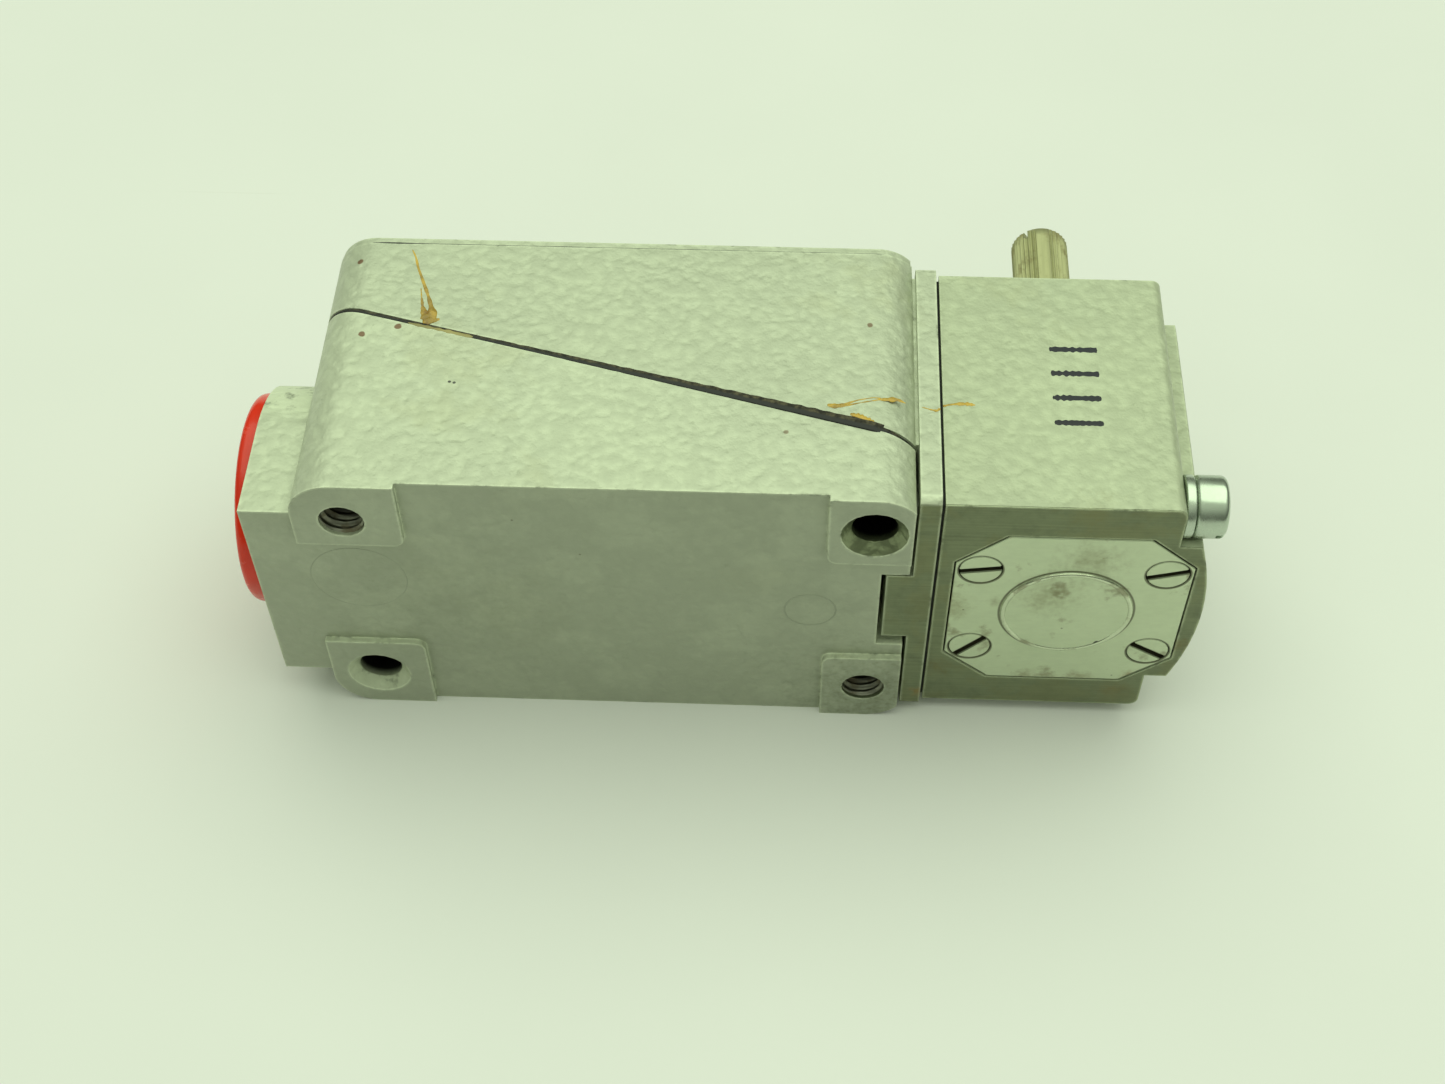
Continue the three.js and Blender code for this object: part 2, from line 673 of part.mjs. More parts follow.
function fixedContact(index) {
  const left = index % 2 === 0;
  const side = index < 2 ? -1 : 1;
  const bridgeX = BRIDGE_XS[left ? 0 : 1];
  const outward = left ? -1 : 1;
  const open = left ? CONTACT_GAP + CARRIER_TRAVEL : CONTACT_GAP;
  const face = bridgeX + outward * (BRIDGE_THICK_HALF + open);
  const back = face + outward * CONTACT_THICKNESS;
  const [x0, x1] = [Math.min(face, back), Math.max(face, back)];
  const inner = side * CONTACT_INNER;
  const outer = side * (ROOM_HALF - 0.05);
  const [z0, z1] = [Math.min(inner, outer), Math.max(inner, outer)];
  return box([x0, PLUNGER_Y - 3, z0], [x1, ROOM_FAR - 0.05, z1]);
}

function contactCarrier() {
  const body = box(
    [CARRIER_LEFT, PLUNGER_Y - 3.5, -CARRIER_HALF],
    [CARRIER_RIGHT, PLUNGER_Y + 4, CARRIER_HALF]);
  const slots = BRIDGE_XS.map((x) => (
    box([x - 0.5, PLUNGER_Y - 2.1, -6], [x + 0.5, PLUNGER_Y + 2.1, 6])));
  return body.subtract(slots[0]).subtract(slots[1]);
}

function contactBridge(x) {
  return box(
    [x - BRIDGE_THICK_HALF, PLUNGER_Y - 2, -BRIDGE_REACH],
    [x + BRIDGE_THICK_HALF, PLUNGER_Y + 2, BRIDGE_REACH]);
}

function plugBlade(z) {
  const [low, high] = [z - BLADE_HALF, z + BLADE_HALF];
  return box(
    [JAW_X - BLADE_HALF_X, BLOCK_TOP + 1.4, low],
    [JAW_X + BLADE_HALF_X, PLUNGER_Y - 4.6, high]);
}

function plungerSeal() {
  const from = FLANGE_RIGHT - SEAL_THICKNESS;
  return tube('x', [PLUNGER_Y, 0], from, FLANGE_RIGHT, SEAL_R, PLUNGER_R + 0.1);
}

function switchPlunger() {
  const stemLeft = CARRIER_RIGHT + TRAVEL;
  const stem = rod('x', [PLUNGER_Y, 0], stemLeft, FLANGE_RIGHT, PLUNGER_R, MEDIUM);
  const collarRight = COLLAR_LEFT + COLLAR_THICKNESS;
  const collar = rod('x', [PLUNGER_Y, 0], COLLAR_LEFT, collarRight, COLLAR_R, MEDIUM);
  return stem.add(collar);
}

function buildSwitchBody() {
  add('wedge_gasket', wedgeGasket(), BLACK_RUBBER);
  add('switch_housing', switchHousing(), HAMMERED_PAINT);
  add('front_plate', frontPlate(), HAMMERED_PAINT);
  add('captive_screw_1', captiveScrew(1), STEEL);
  add('captive_screw_2', captiveScrew(-1), STEEL);
  add('contact_case', contactCase(), BLACK_PHENOLIC);
  for (let i = 0; i < 4; i += 1) {
    add(`fixed_contact_${i + 1}`, fixedContact(i), SILVER);
  }
  TERMINAL_ZS.forEach((z, i) => add(`plug_blade_${i + 1}`, plugBlade(z), BRASS));
  add('contact_carrier', contactCarrier(), BLACK_PHENOLIC);
  BRIDGE_XS.forEach((x, i) => add(`contact_bridge_${i + 1}`, contactBridge(x), SILVER));
  add('switch_plunger', switchPlunger(), STEEL);
  add('plunger_seal', plungerSeal(), BLACK_RUBBER);
  const line = [PLUNGER_Y, 0];
  const carrierCoil = new Helix('x', line, ROOM_LEFT + 0.5, CARRIER_LEFT - 0.4, 2.2, 4);
  add('carrier_spring', coilSpring(carrierCoil, 0.3), SPRING_STEEL);
  const overtravelCoil = new Helix('x', line, CARRIER_RIGHT + 0.4, COLLAR_LEFT - 0.4, 3, 3);
  add('overtravel_spring', coilSpring(overtravelCoil, 0.3), SPRING_STEEL);
}

// ---------------------------------------------------------------- operating head

// Raised arched land on the head's end face, bowed along Z.
function endArch() {
  const sagitta = ARCH_RIGHT - ARCH_SIDE_X;
  const r = (ARCH_HALF ** 2 + sagitta ** 2) / (2 * sagitta);
  const sweep = Math.asin(ARCH_HALF / r);
  const shape = new THREE.Shape();
  shape.moveTo(HEAD_RIGHT - 2, -ARCH_HALF);
  shape.lineTo(ARCH_SIDE_X, -ARCH_HALF);
  shape.absarc(ARCH_RIGHT - r, 0, r, -sweep, sweep, false);
  shape.lineTo(HEAD_RIGHT - 2, ARCH_HALF);
  return prism(shape, 'y', HEAD_NEAR, ARCH_FAR, 12);
}

function headBlock() {
  const shape = new THREE.Shape();
  const r = HEAD_CORNER_R;
  shape.moveTo(HEAD_LEFT, -HEAD_HALF);
  shape.lineTo(HEAD_RIGHT - r, -HEAD_HALF);
  shape.absarc(HEAD_RIGHT - r, -HEAD_HALF + r, r, -Math.PI / 2, 0, false);
  shape.absarc(HEAD_RIGHT - r, HEAD_HALF - r, r, 0, Math.PI / 2, false);
  shape.lineTo(HEAD_LEFT, HEAD_HALF);
  return prism(shape, 'y', HEAD_NEAR, HEAD_FAR, 3);
}

function headHousing() {
  const shaftAt = [SHAFT_X, 0];
  const floor = HEAD_NEAR + PLATE_POCKET;
  let shape = headBlock()
    .add(endArch())
    .add(rod('y', shaftAt, HEAD_FAR - 1, HEAD_BOSS_FAR, HEAD_BOSS_R, FINE))
    .subtract(prism(octagon(), 'y', HEAD_NEAR - 1, floor))
    .subtract(rod('y', shaftAt, floor - 1, HEAD_CHAMBER_FAR, HEAD_CHAMBER_R, FINE))
    .subtract(rod('y', shaftAt, HEAD_CHAMBER_FAR - 1, HEAD_BOSS_FAR + 1, BUSH_R, FINE))
    .subtract(rod('x', [PLUNGER_Y, 0], HEAD_LEFT - 1, SHAFT_X - 6, TAPPET_R + 0.08, MEDIUM));
  for (const [signX, signZ] of PLATE_SCREWS) {
    const at = [SHAFT_X + signX * PLATE_SCREW_X, signZ * PLATE_SCREW_Z];
    shape = shape.subtract(rod('y', at, floor - 1, floor + 6, PLATE_SCREW_R + 0.05, COARSE));
  }
  for (const at of HEAD_SCREWS) {
    shape = shape
      .subtract(rod('x', at, HEAD_LEFT - 1, HEAD_RIGHT + 1, HEAD_SCREW_R + 0.3, COARSE))
      .subtract(rod('x', at, HEAD_RIGHT, ARCH_RIGHT + 1, WASHER_R + 0.3, MEDIUM));
  }
  return shape;
}

function headGasket() {
  const inset = 0.5;
  const plate = box(
    [FLANGE_RIGHT, HEAD_NEAR + inset, -HEAD_HALF + inset],
    [HEAD_LEFT, HEAD_FAR - inset, HEAD_HALF - inset]);
  const [from, to] = [FLANGE_RIGHT - 1, HEAD_LEFT + 1];
  let shape = plate.subtract(rod('x', [PLUNGER_Y, 0], from, to, SEAL_R, MEDIUM));
  for (const at of HEAD_SCREWS) {
    shape = shape.subtract(rod('x', at, from, to, HEAD_SCREW_R + 0.4, COARSE));
  }
  return shape;
}

function coverPlate() {
  const shaftAt = [SHAFT_X, 0];
  let shape = prism(octagon(PLATE_GAP), 'y', HEAD_NEAR, HEAD_NEAR + PLATE_THICKNESS)
    .add(rod('y', shaftAt, HEAD_NEAR - PLATE_DISC_HEIGHT, HEAD_NEAR + 0.5, PLATE_DISC_R, FINE));
  for (const [signX, signZ] of PLATE_SCREWS) {
    const at = [SHAFT_X + signX * PLATE_SCREW_X, signZ * PLATE_SCREW_Z];
    shape = shape
      .subtract(rod('y', at, 0, HEAD_NEAR + PLATE_SCREW_HEAD, PLATE_SCREW_HEAD_R + 0.1, MEDIUM))
      .subtract(rod('y', at, 0, HEAD_NEAR + 3, PLATE_SCREW_R + 0.1, COARSE));
  }
  return shape;
}

function plateGasket() {
  const near = HEAD_NEAR + PLATE_THICKNESS;
  let shape = prism(octagon(PLATE_GAP), 'y', near, near + PLATE_GASKET)
    .subtract(rod('y', [SHAFT_X, 0], 0, 9, HEAD_CHAMBER_R, FINE));
  for (const [signX, signZ] of PLATE_SCREWS) {
    const at = [SHAFT_X + signX * PLATE_SCREW_X, signZ * PLATE_SCREW_Z];
    shape = shape.subtract(rod('y', at, 0, 9, PLATE_SCREW_R + 0.15, COARSE));
  }
  return shape;
}

function plateScrew([signX, signZ], slotAngle) {
  const at = [SHAFT_X + signX * PLATE_SCREW_X, signZ * PLATE_SCREW_Z];
  const seat = HEAD_NEAR + PLATE_SCREW_HEAD;
  const end = HEAD_NEAR + PLATE_POCKET + PLATE_SCREW_BITE;
  const head = rod('y', at, HEAD_NEAR, seat, PLATE_SCREW_HEAD_R, MEDIUM);
  const shank = rod('y', at, seat - 0.2, end, PLATE_SCREW_R, COARSE);
  const slot = slotCut('y', at, HEAD_NEAR, PLATE_SLOT_DEPTH, 9, PLATE_SLOT_WIDTH, slotAngle);
  return head.add(shank).subtract(slot);
}

function headScrew(at) {
  const seat = HEAD_RIGHT + WASHER_THICKNESS;
  const tip = FLANGE_LEFT + 0.3;
  const end = seat + HEAD_SCREW_HEAD;
  const rim = end - HEAD_SCREW_EDGE;
  const topR = HEAD_SCREW_HEAD_R - HEAD_SCREW_EDGE;
  return rod('x', at, tip, seat + 0.5, HEAD_SCREW_R, COARSE)
    .add(rod('x', at, seat, rim, HEAD_SCREW_HEAD_R, MEDIUM))
    .add(rod('x', at, rim - 0.01, end, HEAD_SCREW_HEAD_R, MEDIUM, topR))
    .subtract(slotCut('x', at, end, HEAD_SLOT_DEPTH, 10, HEAD_SLOT_WIDTH, HEAD_SLOT_ANGLE));
}

function headWasher(at) {
  return tube('x', at, HEAD_RIGHT, HEAD_RIGHT + WASHER_THICKNESS, WASHER_R, HEAD_SCREW_R + 0.2);
}

// -------------------------------------------------------------- shaft and cam

// Shaft with fine teeth towards its tip, a plain band on top and a kerf.
function shaft() {
  const outline = [];
  for (let i = 0; i < SPLINE_TEETH * 2; i += 1) {
    const angle = i * Math.PI / SPLINE_TEETH;
    const fromTop = Math.abs(angle - Math.PI / 2);
    const root = i % 2 === 1 && fromTop > SPLINE_PLAIN_HALF;
    const r = root ? SHAFT_R - SPLINE_DEPTH : SHAFT_R;
    outline.push([SHAFT_X + r * Math.cos(angle), r * Math.sin(angle)]);
  }
  const at = [SHAFT_X, 0];
  const shoulder = SHAFT_FAR - SHAFT_CHAMFER;
  const tipR = SHAFT_R - SHAFT_CHAMFER;
  const envelope = rod('y', at, SPLINE_NEAR - 1, shoulder, SHAFT_R + 1, FINE)
    .add(rod('y', at, shoulder - 0.01, SHAFT_FAR, SHAFT_R + 0.05, FINE, tipR));
  return prism(polygon(outline), 'y', SPLINE_NEAR - 0.1, SHAFT_FAR)
    .intersect(envelope)
    .add(rod('y', at, SHAFT_NEAR, SPLINE_NEAR, SHAFT_R, FINE))
    .subtract(slotCut('y', at, SHAFT_FAR, KERF_DEPTH, 12, KERF_WIDTH, KERF_ANGLE))
    .subtract(rod('z', [SHAFT_X, CAM_NEAR], -6, 6, PIN_R + 0.03, COARSE));
}

// Valley cam: its edge rises evenly from the valley to both tips.
function camOutline() {
  const steps = 10;
  const points = [];
  for (let i = -steps; i <= steps; i += 1) {
    const turn = i / steps * CAM_TIP_RANGE;
    const r = CAM_ROOT_R + CAM_RISE * Math.abs(turn);
    points.push([SHAFT_X - r * Math.cos(turn), -r * Math.sin(turn)]);
  }
  const backR = CAM_ROOT_R + 0.6;
  for (let i = 1; i < steps; i += 1) {
    const turn = CAM_TIP_RANGE + i / steps * (2 * Math.PI - 2 * CAM_TIP_RANGE);
    points.push([SHAFT_X - backR * Math.cos(turn), -backR * Math.sin(turn)]);
  }
  return polygon(points);
}

function cam() {
  const at = [SHAFT_X, 0];
  return prism(camOutline(), 'y', CAM_NEAR + 1.5, CAM_FAR)
    .add(rod('y', at, CAM_NEAR - 1.5, CAM_NEAR + 2, CAM_ROOT_R + 0.4, MEDIUM))
    .subtract(rod('y', at, CAM_NEAR - 3, CAM_FAR + 1, SHAFT_R + 0.05, FINE))
    .subtract(rod('z', [SHAFT_X, CAM_NEAR], -9, 9, PIN_R + 0.03, COARSE));
}

// A flanged bearing: its barrel runs from near to far, its flange between two other depths.
function bush(near, far, outerR, flangeNear, flangeFar, flangeR) {
  const at = [SHAFT_X, 0];
  return rod('y', at, near, far, outerR, FINE)
    .add(rod('y', at, flangeNear, flangeFar, flangeR, FINE))
    .subtract(rod('y', at, near - 1, far + 1, SHAFT_R + RUNNING_FIT, FINE));
}

function oRing() {
  const wire = new THREE.TorusGeometry(SHAFT_R + 1, O_RING_WIRE_R, 8, MEDIUM);
  wire.rotateX(Math.PI / 2);
  wire.translate(SHAFT_X, HEAD_BOSS_FAR - 1.6, 0);
  return positive(wire);
}

// Tappet: guided stem whose round nose sits in the valley of the cam.
function tappet() {
  const slope = Math.atan(CAM_RISE / CAM_ROOT_R);
  const centre = SHAFT_X - CAM_ROOT_R - (TAPPET_TIP_R + TAPPET_TIP_GAP) / Math.cos(slope);
  const nose = new THREE.SphereGeometry(TAPPET_TIP_R, 12, 8);
  nose.translate(centre, PLUNGER_Y, 0);
  const at = [PLUNGER_Y, 0];
  return solid(nose)
    .add(rod('x', at, HEAD_LEFT + 4, centre, TAPPET_TIP_R, COARSE))
    .add(rod('x', at, FLANGE_RIGHT + TRAVEL + 0.2, HEAD_LEFT + 5, TAPPET_R, MEDIUM))
    .add(rod('x', at, FLANGE_RIGHT + 0.1, HEAD_LEFT + 4, TAPPET_FOOT_R, MEDIUM));
}

function buildHead() {
  add('head_housing', headHousing(), HAMMERED_PAINT);
  add('head_gasket', headGasket(), BLACK_RUBBER);
  HEAD_SCREWS.forEach((at, i) => {
    add(`head_screw_${i + 1}`, headScrew(at), STEEL);
    add(`head_screw_washer_${i + 1}`, headWasher(at), STEEL);
  });
  add('cover_plate', coverPlate(), BRIGHT_PLATE);
  add('plate_gasket', plateGasket(), BLACK_RUBBER);
  PLATE_SCREWS.forEach((corner, i) => {
    add(`plate_screw_${i + 1}`, plateScrew(corner, PLATE_SLOT_ANGLES[i]), STEEL);
  });
  add('shaft', shaft(), SHAFT_STEEL);
  add('cam', cam(), STEEL);
  add('cam_pin', rod('z', [SHAFT_X, CAM_NEAR], -CAM_ROOT_R, CAM_ROOT_R, PIN_R, COARSE), STEEL);
  const farBush = bush(
    HEAD_CHAMBER_FAR, FAR_BUSH_END, BUSH_R,
    HEAD_CHAMBER_FAR - 1, HEAD_CHAMBER_FAR, FAR_BUSH_FLANGE_R);
  add('shaft_bush_far', farBush, BRONZE);
  const nearBush = bush(
    NEAR_BUSH_START, NEAR_BUSH_END, HEAD_CHAMBER_R - 0.4,
    NEAR_BUSH_START, NEAR_BUSH_FLANGE_END, HEAD_CHAMBER_R - 0.05);
  add('shaft_bush_near', nearBush, BRONZE);
  add('shaft_o_ring', oRing(), BLACK_RUBBER);
  add('tappet', tappet(), STEEL);
  const coil = new Helix('y', [SHAFT_X, 0], 11, 19, 5.2, 4);
  add('return_spring', coilSpring(coil, 0.45), SPRING_STEEL);
}

buildBase();
buildSwitchBody();
buildHead();

// Origin at the middle of the underside of the whole switch as it lies.
const bounds = new THREE.Box3().setFromObject(switchGroup);
const middle = bounds.getCenter(new THREE.Vector3());
switchGroup.position.set(-middle.x, -middle.y, -bounds.min.z);
switchGroup.updateMatrixWorld(true);

export default switchGroup;
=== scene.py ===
"""Finish and stage a plug-in limit switch around its packed mechanical model."""

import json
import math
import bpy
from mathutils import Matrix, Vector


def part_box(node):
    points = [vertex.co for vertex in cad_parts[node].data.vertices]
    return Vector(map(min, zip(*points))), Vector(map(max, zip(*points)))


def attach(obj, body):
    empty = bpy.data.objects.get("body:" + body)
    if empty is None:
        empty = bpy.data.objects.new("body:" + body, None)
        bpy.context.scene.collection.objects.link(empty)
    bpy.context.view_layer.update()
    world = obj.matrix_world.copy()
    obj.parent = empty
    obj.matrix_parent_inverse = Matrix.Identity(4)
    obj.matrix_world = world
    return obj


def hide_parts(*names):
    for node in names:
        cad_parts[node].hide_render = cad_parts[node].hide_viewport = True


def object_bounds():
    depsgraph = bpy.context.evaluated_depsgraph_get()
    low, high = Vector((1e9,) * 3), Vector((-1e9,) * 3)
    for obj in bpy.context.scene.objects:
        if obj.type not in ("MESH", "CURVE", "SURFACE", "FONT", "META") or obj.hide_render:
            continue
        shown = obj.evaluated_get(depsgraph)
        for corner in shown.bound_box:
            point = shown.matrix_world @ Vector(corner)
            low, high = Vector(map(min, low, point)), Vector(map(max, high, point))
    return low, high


bl_info = {
    "name": "Limit Switch Finish",
    "version": (1, 0, 0),
    "blender": (4, 5, 0),
    "location": "3D View > Sidebar > Limit switch",
    "description": "Casts, plates and seals the limit switch and sets it on a studio floor",
    "category": "Object",
}

import bmesh
import bpy
import numpy as np
from bpy.props import (
    FloatProperty,
    FloatVectorProperty,
    IntProperty,
    PointerProperty,
)
from mathutils import Matrix, Vector

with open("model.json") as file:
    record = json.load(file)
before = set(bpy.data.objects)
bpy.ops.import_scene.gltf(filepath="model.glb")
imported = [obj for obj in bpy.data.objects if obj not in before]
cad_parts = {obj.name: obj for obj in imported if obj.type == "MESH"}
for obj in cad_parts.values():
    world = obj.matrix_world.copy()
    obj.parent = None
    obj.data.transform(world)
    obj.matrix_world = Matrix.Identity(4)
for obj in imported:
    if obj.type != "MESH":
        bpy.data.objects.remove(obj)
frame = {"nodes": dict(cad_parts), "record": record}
cad_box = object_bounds()

MM = 0.001
WELD, CAD_WELD = 2e-7, 2e-6
EASED_FROM = 34.0

# The mounting-hole pattern's middle, on the mounting face, is the layout origin.
BOSS_REACH = 41.6
BASE_LOW, BASE_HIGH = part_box("base_housing")
LAYOUT_ORIGIN = Vector((
    BASE_LOW.x + BOSS_REACH * MM,
    BASE_LOW.y,
    (BASE_LOW.z + BASE_HIGH.z) / 2,
))
BODY_LEFT, BODY_RIGHT, BODY_TOP, BODY_CORNER = -35.5, 34.1, 21.2, 5.2
HEAD_TOP = 19.2
FLANGE_TOP = 20.3
HOLE_X, HOLE_Z, HOLE_R = 29.75, 15.1, 2.6
SINK_R = 4.0
SEAM_Y, SEAM_SLOPE, SEAM_GAP = 18.2, -0.266, 0.6
SHAFT_X, SPLINE_START = 52.75, 44.5
DISC_R, DISC_TUBE, DISC_Y = 7.65, 0.3, 1.2
PLATE_SCREW_R = 2.45


def at(x, y, z):
    """A point of the layout, in millimetres from the hole pattern's middle, in metres."""
    return LAYOUT_ORIGIN + Vector((x, y, z)) * MM


def placed(points):
    """The same for an array whose last axis is x, y, z."""
    return np.asarray(points, float) * MM + np.array(LAYOUT_ORIGIN)


# --- sizes and colours


def length(label, text, default, **more):
    """A size property shown in the scene's length unit."""
    return FloatProperty(
        name=label, description=text, default=default, min=0.0, unit="LENGTH",
        subtype="DISTANCE", precision=5, **more)


def colour(label, text, default):
    """A colour property, in linear light."""
    return FloatVectorProperty(
        name=label, description=text, default=default, size=3, min=0.0, max=1.0,
        subtype="COLOR")


class CastingSettings(bpy.types.PropertyGroup):
    """The painted castings."""

    paint: colour("Paint", "Silver paint of the castings", (0.555, 0.60, 0.45))
    head: colour("Head paint", "Silver paint of the head", (0.52, 0.57, 0.40))
    bare: colour("Bare zinc", "Metal where there is no paint", (0.21, 0.24, 0.14))
    cell: length("Hammer cell", "Width of one dimple in the hammered paint", 0.0013)
    dimple: length("Hammer depth", "Depth of the dimples", 0.0002)
    ease: length("Edge radius", "Rounding of the castings' edges", 0.00042)


class PlugSettings(bpy.types.PropertyGroup):
    """The plastic plug in the conduit entry."""

    plastic: colour("Plastic", "Colour of the plug", (0.74, 0.028, 0.006))
    lip: length("Lip radius", "Rounding of the plug's rim", 0.0011)
    dish: length("Dish depth", "Depth of the hollow in the plug's face", 0.0007)


class GasketSettings(bpy.types.PropertyGroup):
    """The rubber in the sloping joint."""

    rubber: colour("Rubber", "Colour of the gaskets", (0.012, 0.013, 0.012))
    narrow: length("Narrow end", "Half height of the bead at the conduit end", 0.0002)
    wide: length("Wide end", "Half height of the bead at the head end", 0.00074)


class HardwareSettings(bpy.types.PropertyGroup):
    """Screws, washers and the cover plate."""

    plating: colour("Plating", "Colour of bright zinc plating", (0.52, 0.59, 0.49))
    plate: colour("Cover plate", "Colour of the octagonal plate", (0.615, 0.69, 0.485))
    slot_width: length("Slot width", "Width of a cover-plate screw's slot", 0.0009)
    slot_depth: length("Slot depth", "Depth of a cover-plate screw's slot", 0.0007)
    pitch: length("Thread pitch", "Pitch of the tapped mounting holes", 0.001)


class ShaftSettings(bpy.types.PropertyGroup):
    """The operating shaft."""

    metal: colour("Shaft metal", "Colour of the shaft", (0.46, 0.46, 0.25))
    teeth: IntProperty(
        name="Teeth", description="Fine teeth round the shaft", default=36, min=8, max=80)
    tooth: length("Tooth depth", "Depth of the shaft's fine teeth", 0.00032)
    kerf: length("Kerf width", "Width of the slot across the shaft's end", 0.0007)


class MarkSettings(bpy.types.PropertyGroup):
    """Glue runs and printed strokes."""

    glue: colour("Glue", "Colour of the dried glue", (0.52, 0.33, 0.04))
    ink: colour("Ink", "Colour of the printed strokes", (0.012, 0.014, 0.022))


class StageSettings(bpy.types.PropertyGroup):
    """Floor, lights and camera."""

    floor: colour("Floor", "Colour of the floor", (0.80, 0.80, 0.79))
    tint: colour("Light tint", "Colour of the lamps and the sky", (0.885, 1.0, 0.775))
    focal: FloatProperty(
        name="Focal length", description="Focal length of the camera, in mm", default=50.756,
        min=10.0)
    key: FloatProperty(
        name="Key power", description="Power of the overhead lamp", default=16.3, min=0.0,
        unit="POWER")
    zenith: FloatProperty(
        name="Ceiling", description="Brightness of the room overhead", default=0.72, min=0.0)
    horizon: FloatProperty(
        name="Walls", description="Brightness of the room at eye level", default=0.12, min=0.0)


SETTINGS = {
    "switch_castings": CastingSettings,
    "switch_plug": PlugSettings,
    "switch_gaskets": GasketSettings,
    "switch_hardware": HardwareSettings,
    "switch_shaft": ShaftSettings,
    "switch_marks": MarkSettings,
    "switch_stage": StageSettings,
}


# --- surfaces


def object_from(name, mesh):
    """A new object at the origin that shows a mesh."""
    piece = bpy.data.objects.new(name, mesh)
    bpy.context.scene.collection.objects.link(piece)
    return piece


def smooth(mesh, sharp):
    """Smooth shading, broken where two faces meet at more than sharp degrees."""
    mesh.polygons.foreach_set("use_smooth", np.ones(len(mesh.polygons), bool))
    mesh.set_sharp_from_angle(angle=math.radians(sharp))


def woven(name, grid, index):
    """A mesh of four-sided faces between neighbours in a grid of point numbers."""
    faces = np.stack([index[:-1, :-1], index[1:, :-1], index[1:, 1:], index[:-1, 1:]], -1)
    mesh = bpy.data.meshes.new(name)
    mesh.from_pydata(grid.reshape(-1, 3).tolist(), [], faces.reshape(-1, 4).tolist())
    return mesh


def surface(name, grid, wrap_rows=False, sharp=40.0):
    """A grid of points in metres, each joined to its neighbours along both parameters, and
    closed along the second. Points that coincide are joined and faces turned outwards."""
    index = np.arange(grid.size // 3).reshape(grid.shape[:2])
    if wrap_rows:
        index = np.vstack([index, index[:1]])
    mesh = woven(name, grid, np.hstack([index, index[:, :1]]))
    shell = bmesh.new()
    shell.from_mesh(mesh)
    bmesh.ops.remove_doubles(shell, verts=shell.verts, dist=WELD)
    bmesh.ops.dissolve_degenerate(shell, edges=shell.edges, dist=WELD)
    bmesh.ops.recalc_face_normals(shell, faces=shell.faces)
    shell.to_mesh(mesh)
    shell.free()
    smooth(mesh, sharp)
    return object_from(name, mesh)


def rounded(corners, radius, steps=5):
    """An open outline whose inner corners are eased: near each corner the point runs along
    the quadratic curve from one side to the other, radius away from the corner at most."""
    corners = np.asarray(corners, float)
    t = np.linspace(0, 1, steps)[:, None]
    parts = [corners[:1]]
    for before, corner, after in zip(corners[:-2], corners[1:-1], corners[2:]):
        back, on = before - corner, after - corner
        reach = min(radius, 0.45 * np.linalg.norm(back), 0.45 * np.linalg.norm(on))
        start = corner + back / np.linalg.norm(back) * reach
        end = corner + on / np.linalg.norm(on) * reach
        parts.append((1 - t) ** 2 * start + 2 * t * (1 - t) * corner + t ** 2 * end)
    return np.vstack([*parts, corners[-1:]])


def circle(count):
    """Even angles once round a circle."""
    return np.linspace(0, 2 * np.pi, count, endpoint=False)


def about_y(x, z, radius, y, angle):
    """Points at a radius and an angle about a line along y, from arrays that broadcast."""
    parts = x + radius * np.cos(angle), y, z + radius * np.sin(angle)
    return np.stack(np.broadcast_arrays(*parts), -1)


AXES = {
    "x": (Vector((1, 0, 0)), Vector((0, 1, 0)), Vector((0, 0, 1))),
    "y": (Vector((0, 1, 0)), Vector((1, 0, 0)), Vector((0, 0, 1))),
}


def turned(name, profile, centre, axis, segments=64, sharp=40.0):
    """A lathe surface. The two parameters are the step along the profile, which holds
    (distance along the axis, radius) in millimetres, and the angle round the axis:
    point = centre + distance * axis + radius * (cos angle * u + sin angle * v)."""
    along, u, v = (np.array(a) for a in AXES[axis])
    profile = np.asarray(profile, float) * MM
    angle = circle(segments)
    ring = np.cos(angle)[:, None] * u + np.sin(angle)[:, None] * v
    grid = (
        np.array(centre)
        + profile[:, None, :1] * along
        + profile[:, None, 1:] * ring[None])
    return surface(name, grid, sharp=sharp)


def torus(name, x, y, z, ring, tube, flat, segments=72, sides=10):
    """A closed ring: a small circle, flattened along y, carried round a large one,
    point = centre + (R + r cos b) * (cos a, 0, sin a) + (0, flat * r sin b, 0)."""
    a = circle(segments)[:, None]
    b = circle(sides)[None]
    out = ring + tube * np.cos(b)
    grid = about_y(x, z, out, y - tube * flat * np.sin(b), a)
    return surface(name, placed(grid), True)


def squared(wave, power):
    """A sine or cosine drawn towards -1 and 1, which squares the section it makes."""
    return np.sign(wave) * np.abs(wave) ** power


def bar(name, centre, size, axis, angle):
    """A straight bar with its middle at centre, turned by angle about an axis: a cutter."""
    mesh = bpy.data.meshes.new(name)
    shape = bmesh.new()
    turn = Matrix.Rotation(angle, 4, axis.upper())
    place = Matrix.Translation(centre) @ turn @ Matrix.Diagonal((*size, 1))
    bmesh.ops.create_cube(shape, size=1, matrix=place)
    shape.to_mesh(mesh)
    shape.free()
    return object_from(name, mesh)


def cut(piece, cutter, sharp=40.0):
    """Takes the cutter's room out of a piece and removes the cutter."""
    knife = piece.modifiers.new("Slot", "BOOLEAN")
    knife.operation = "DIFFERENCE"
    knife.solver = "EXACT"
    knife.object = cutter
    graph = bpy.context.evaluated_depsgraph_get()
    piece.data = bpy.data.meshes.new_from_object(piece.evaluated_get(graph))
    piece.modifiers.clear()
    bpy.data.objects.remove(cutter)
    smooth(piece.data, sharp)


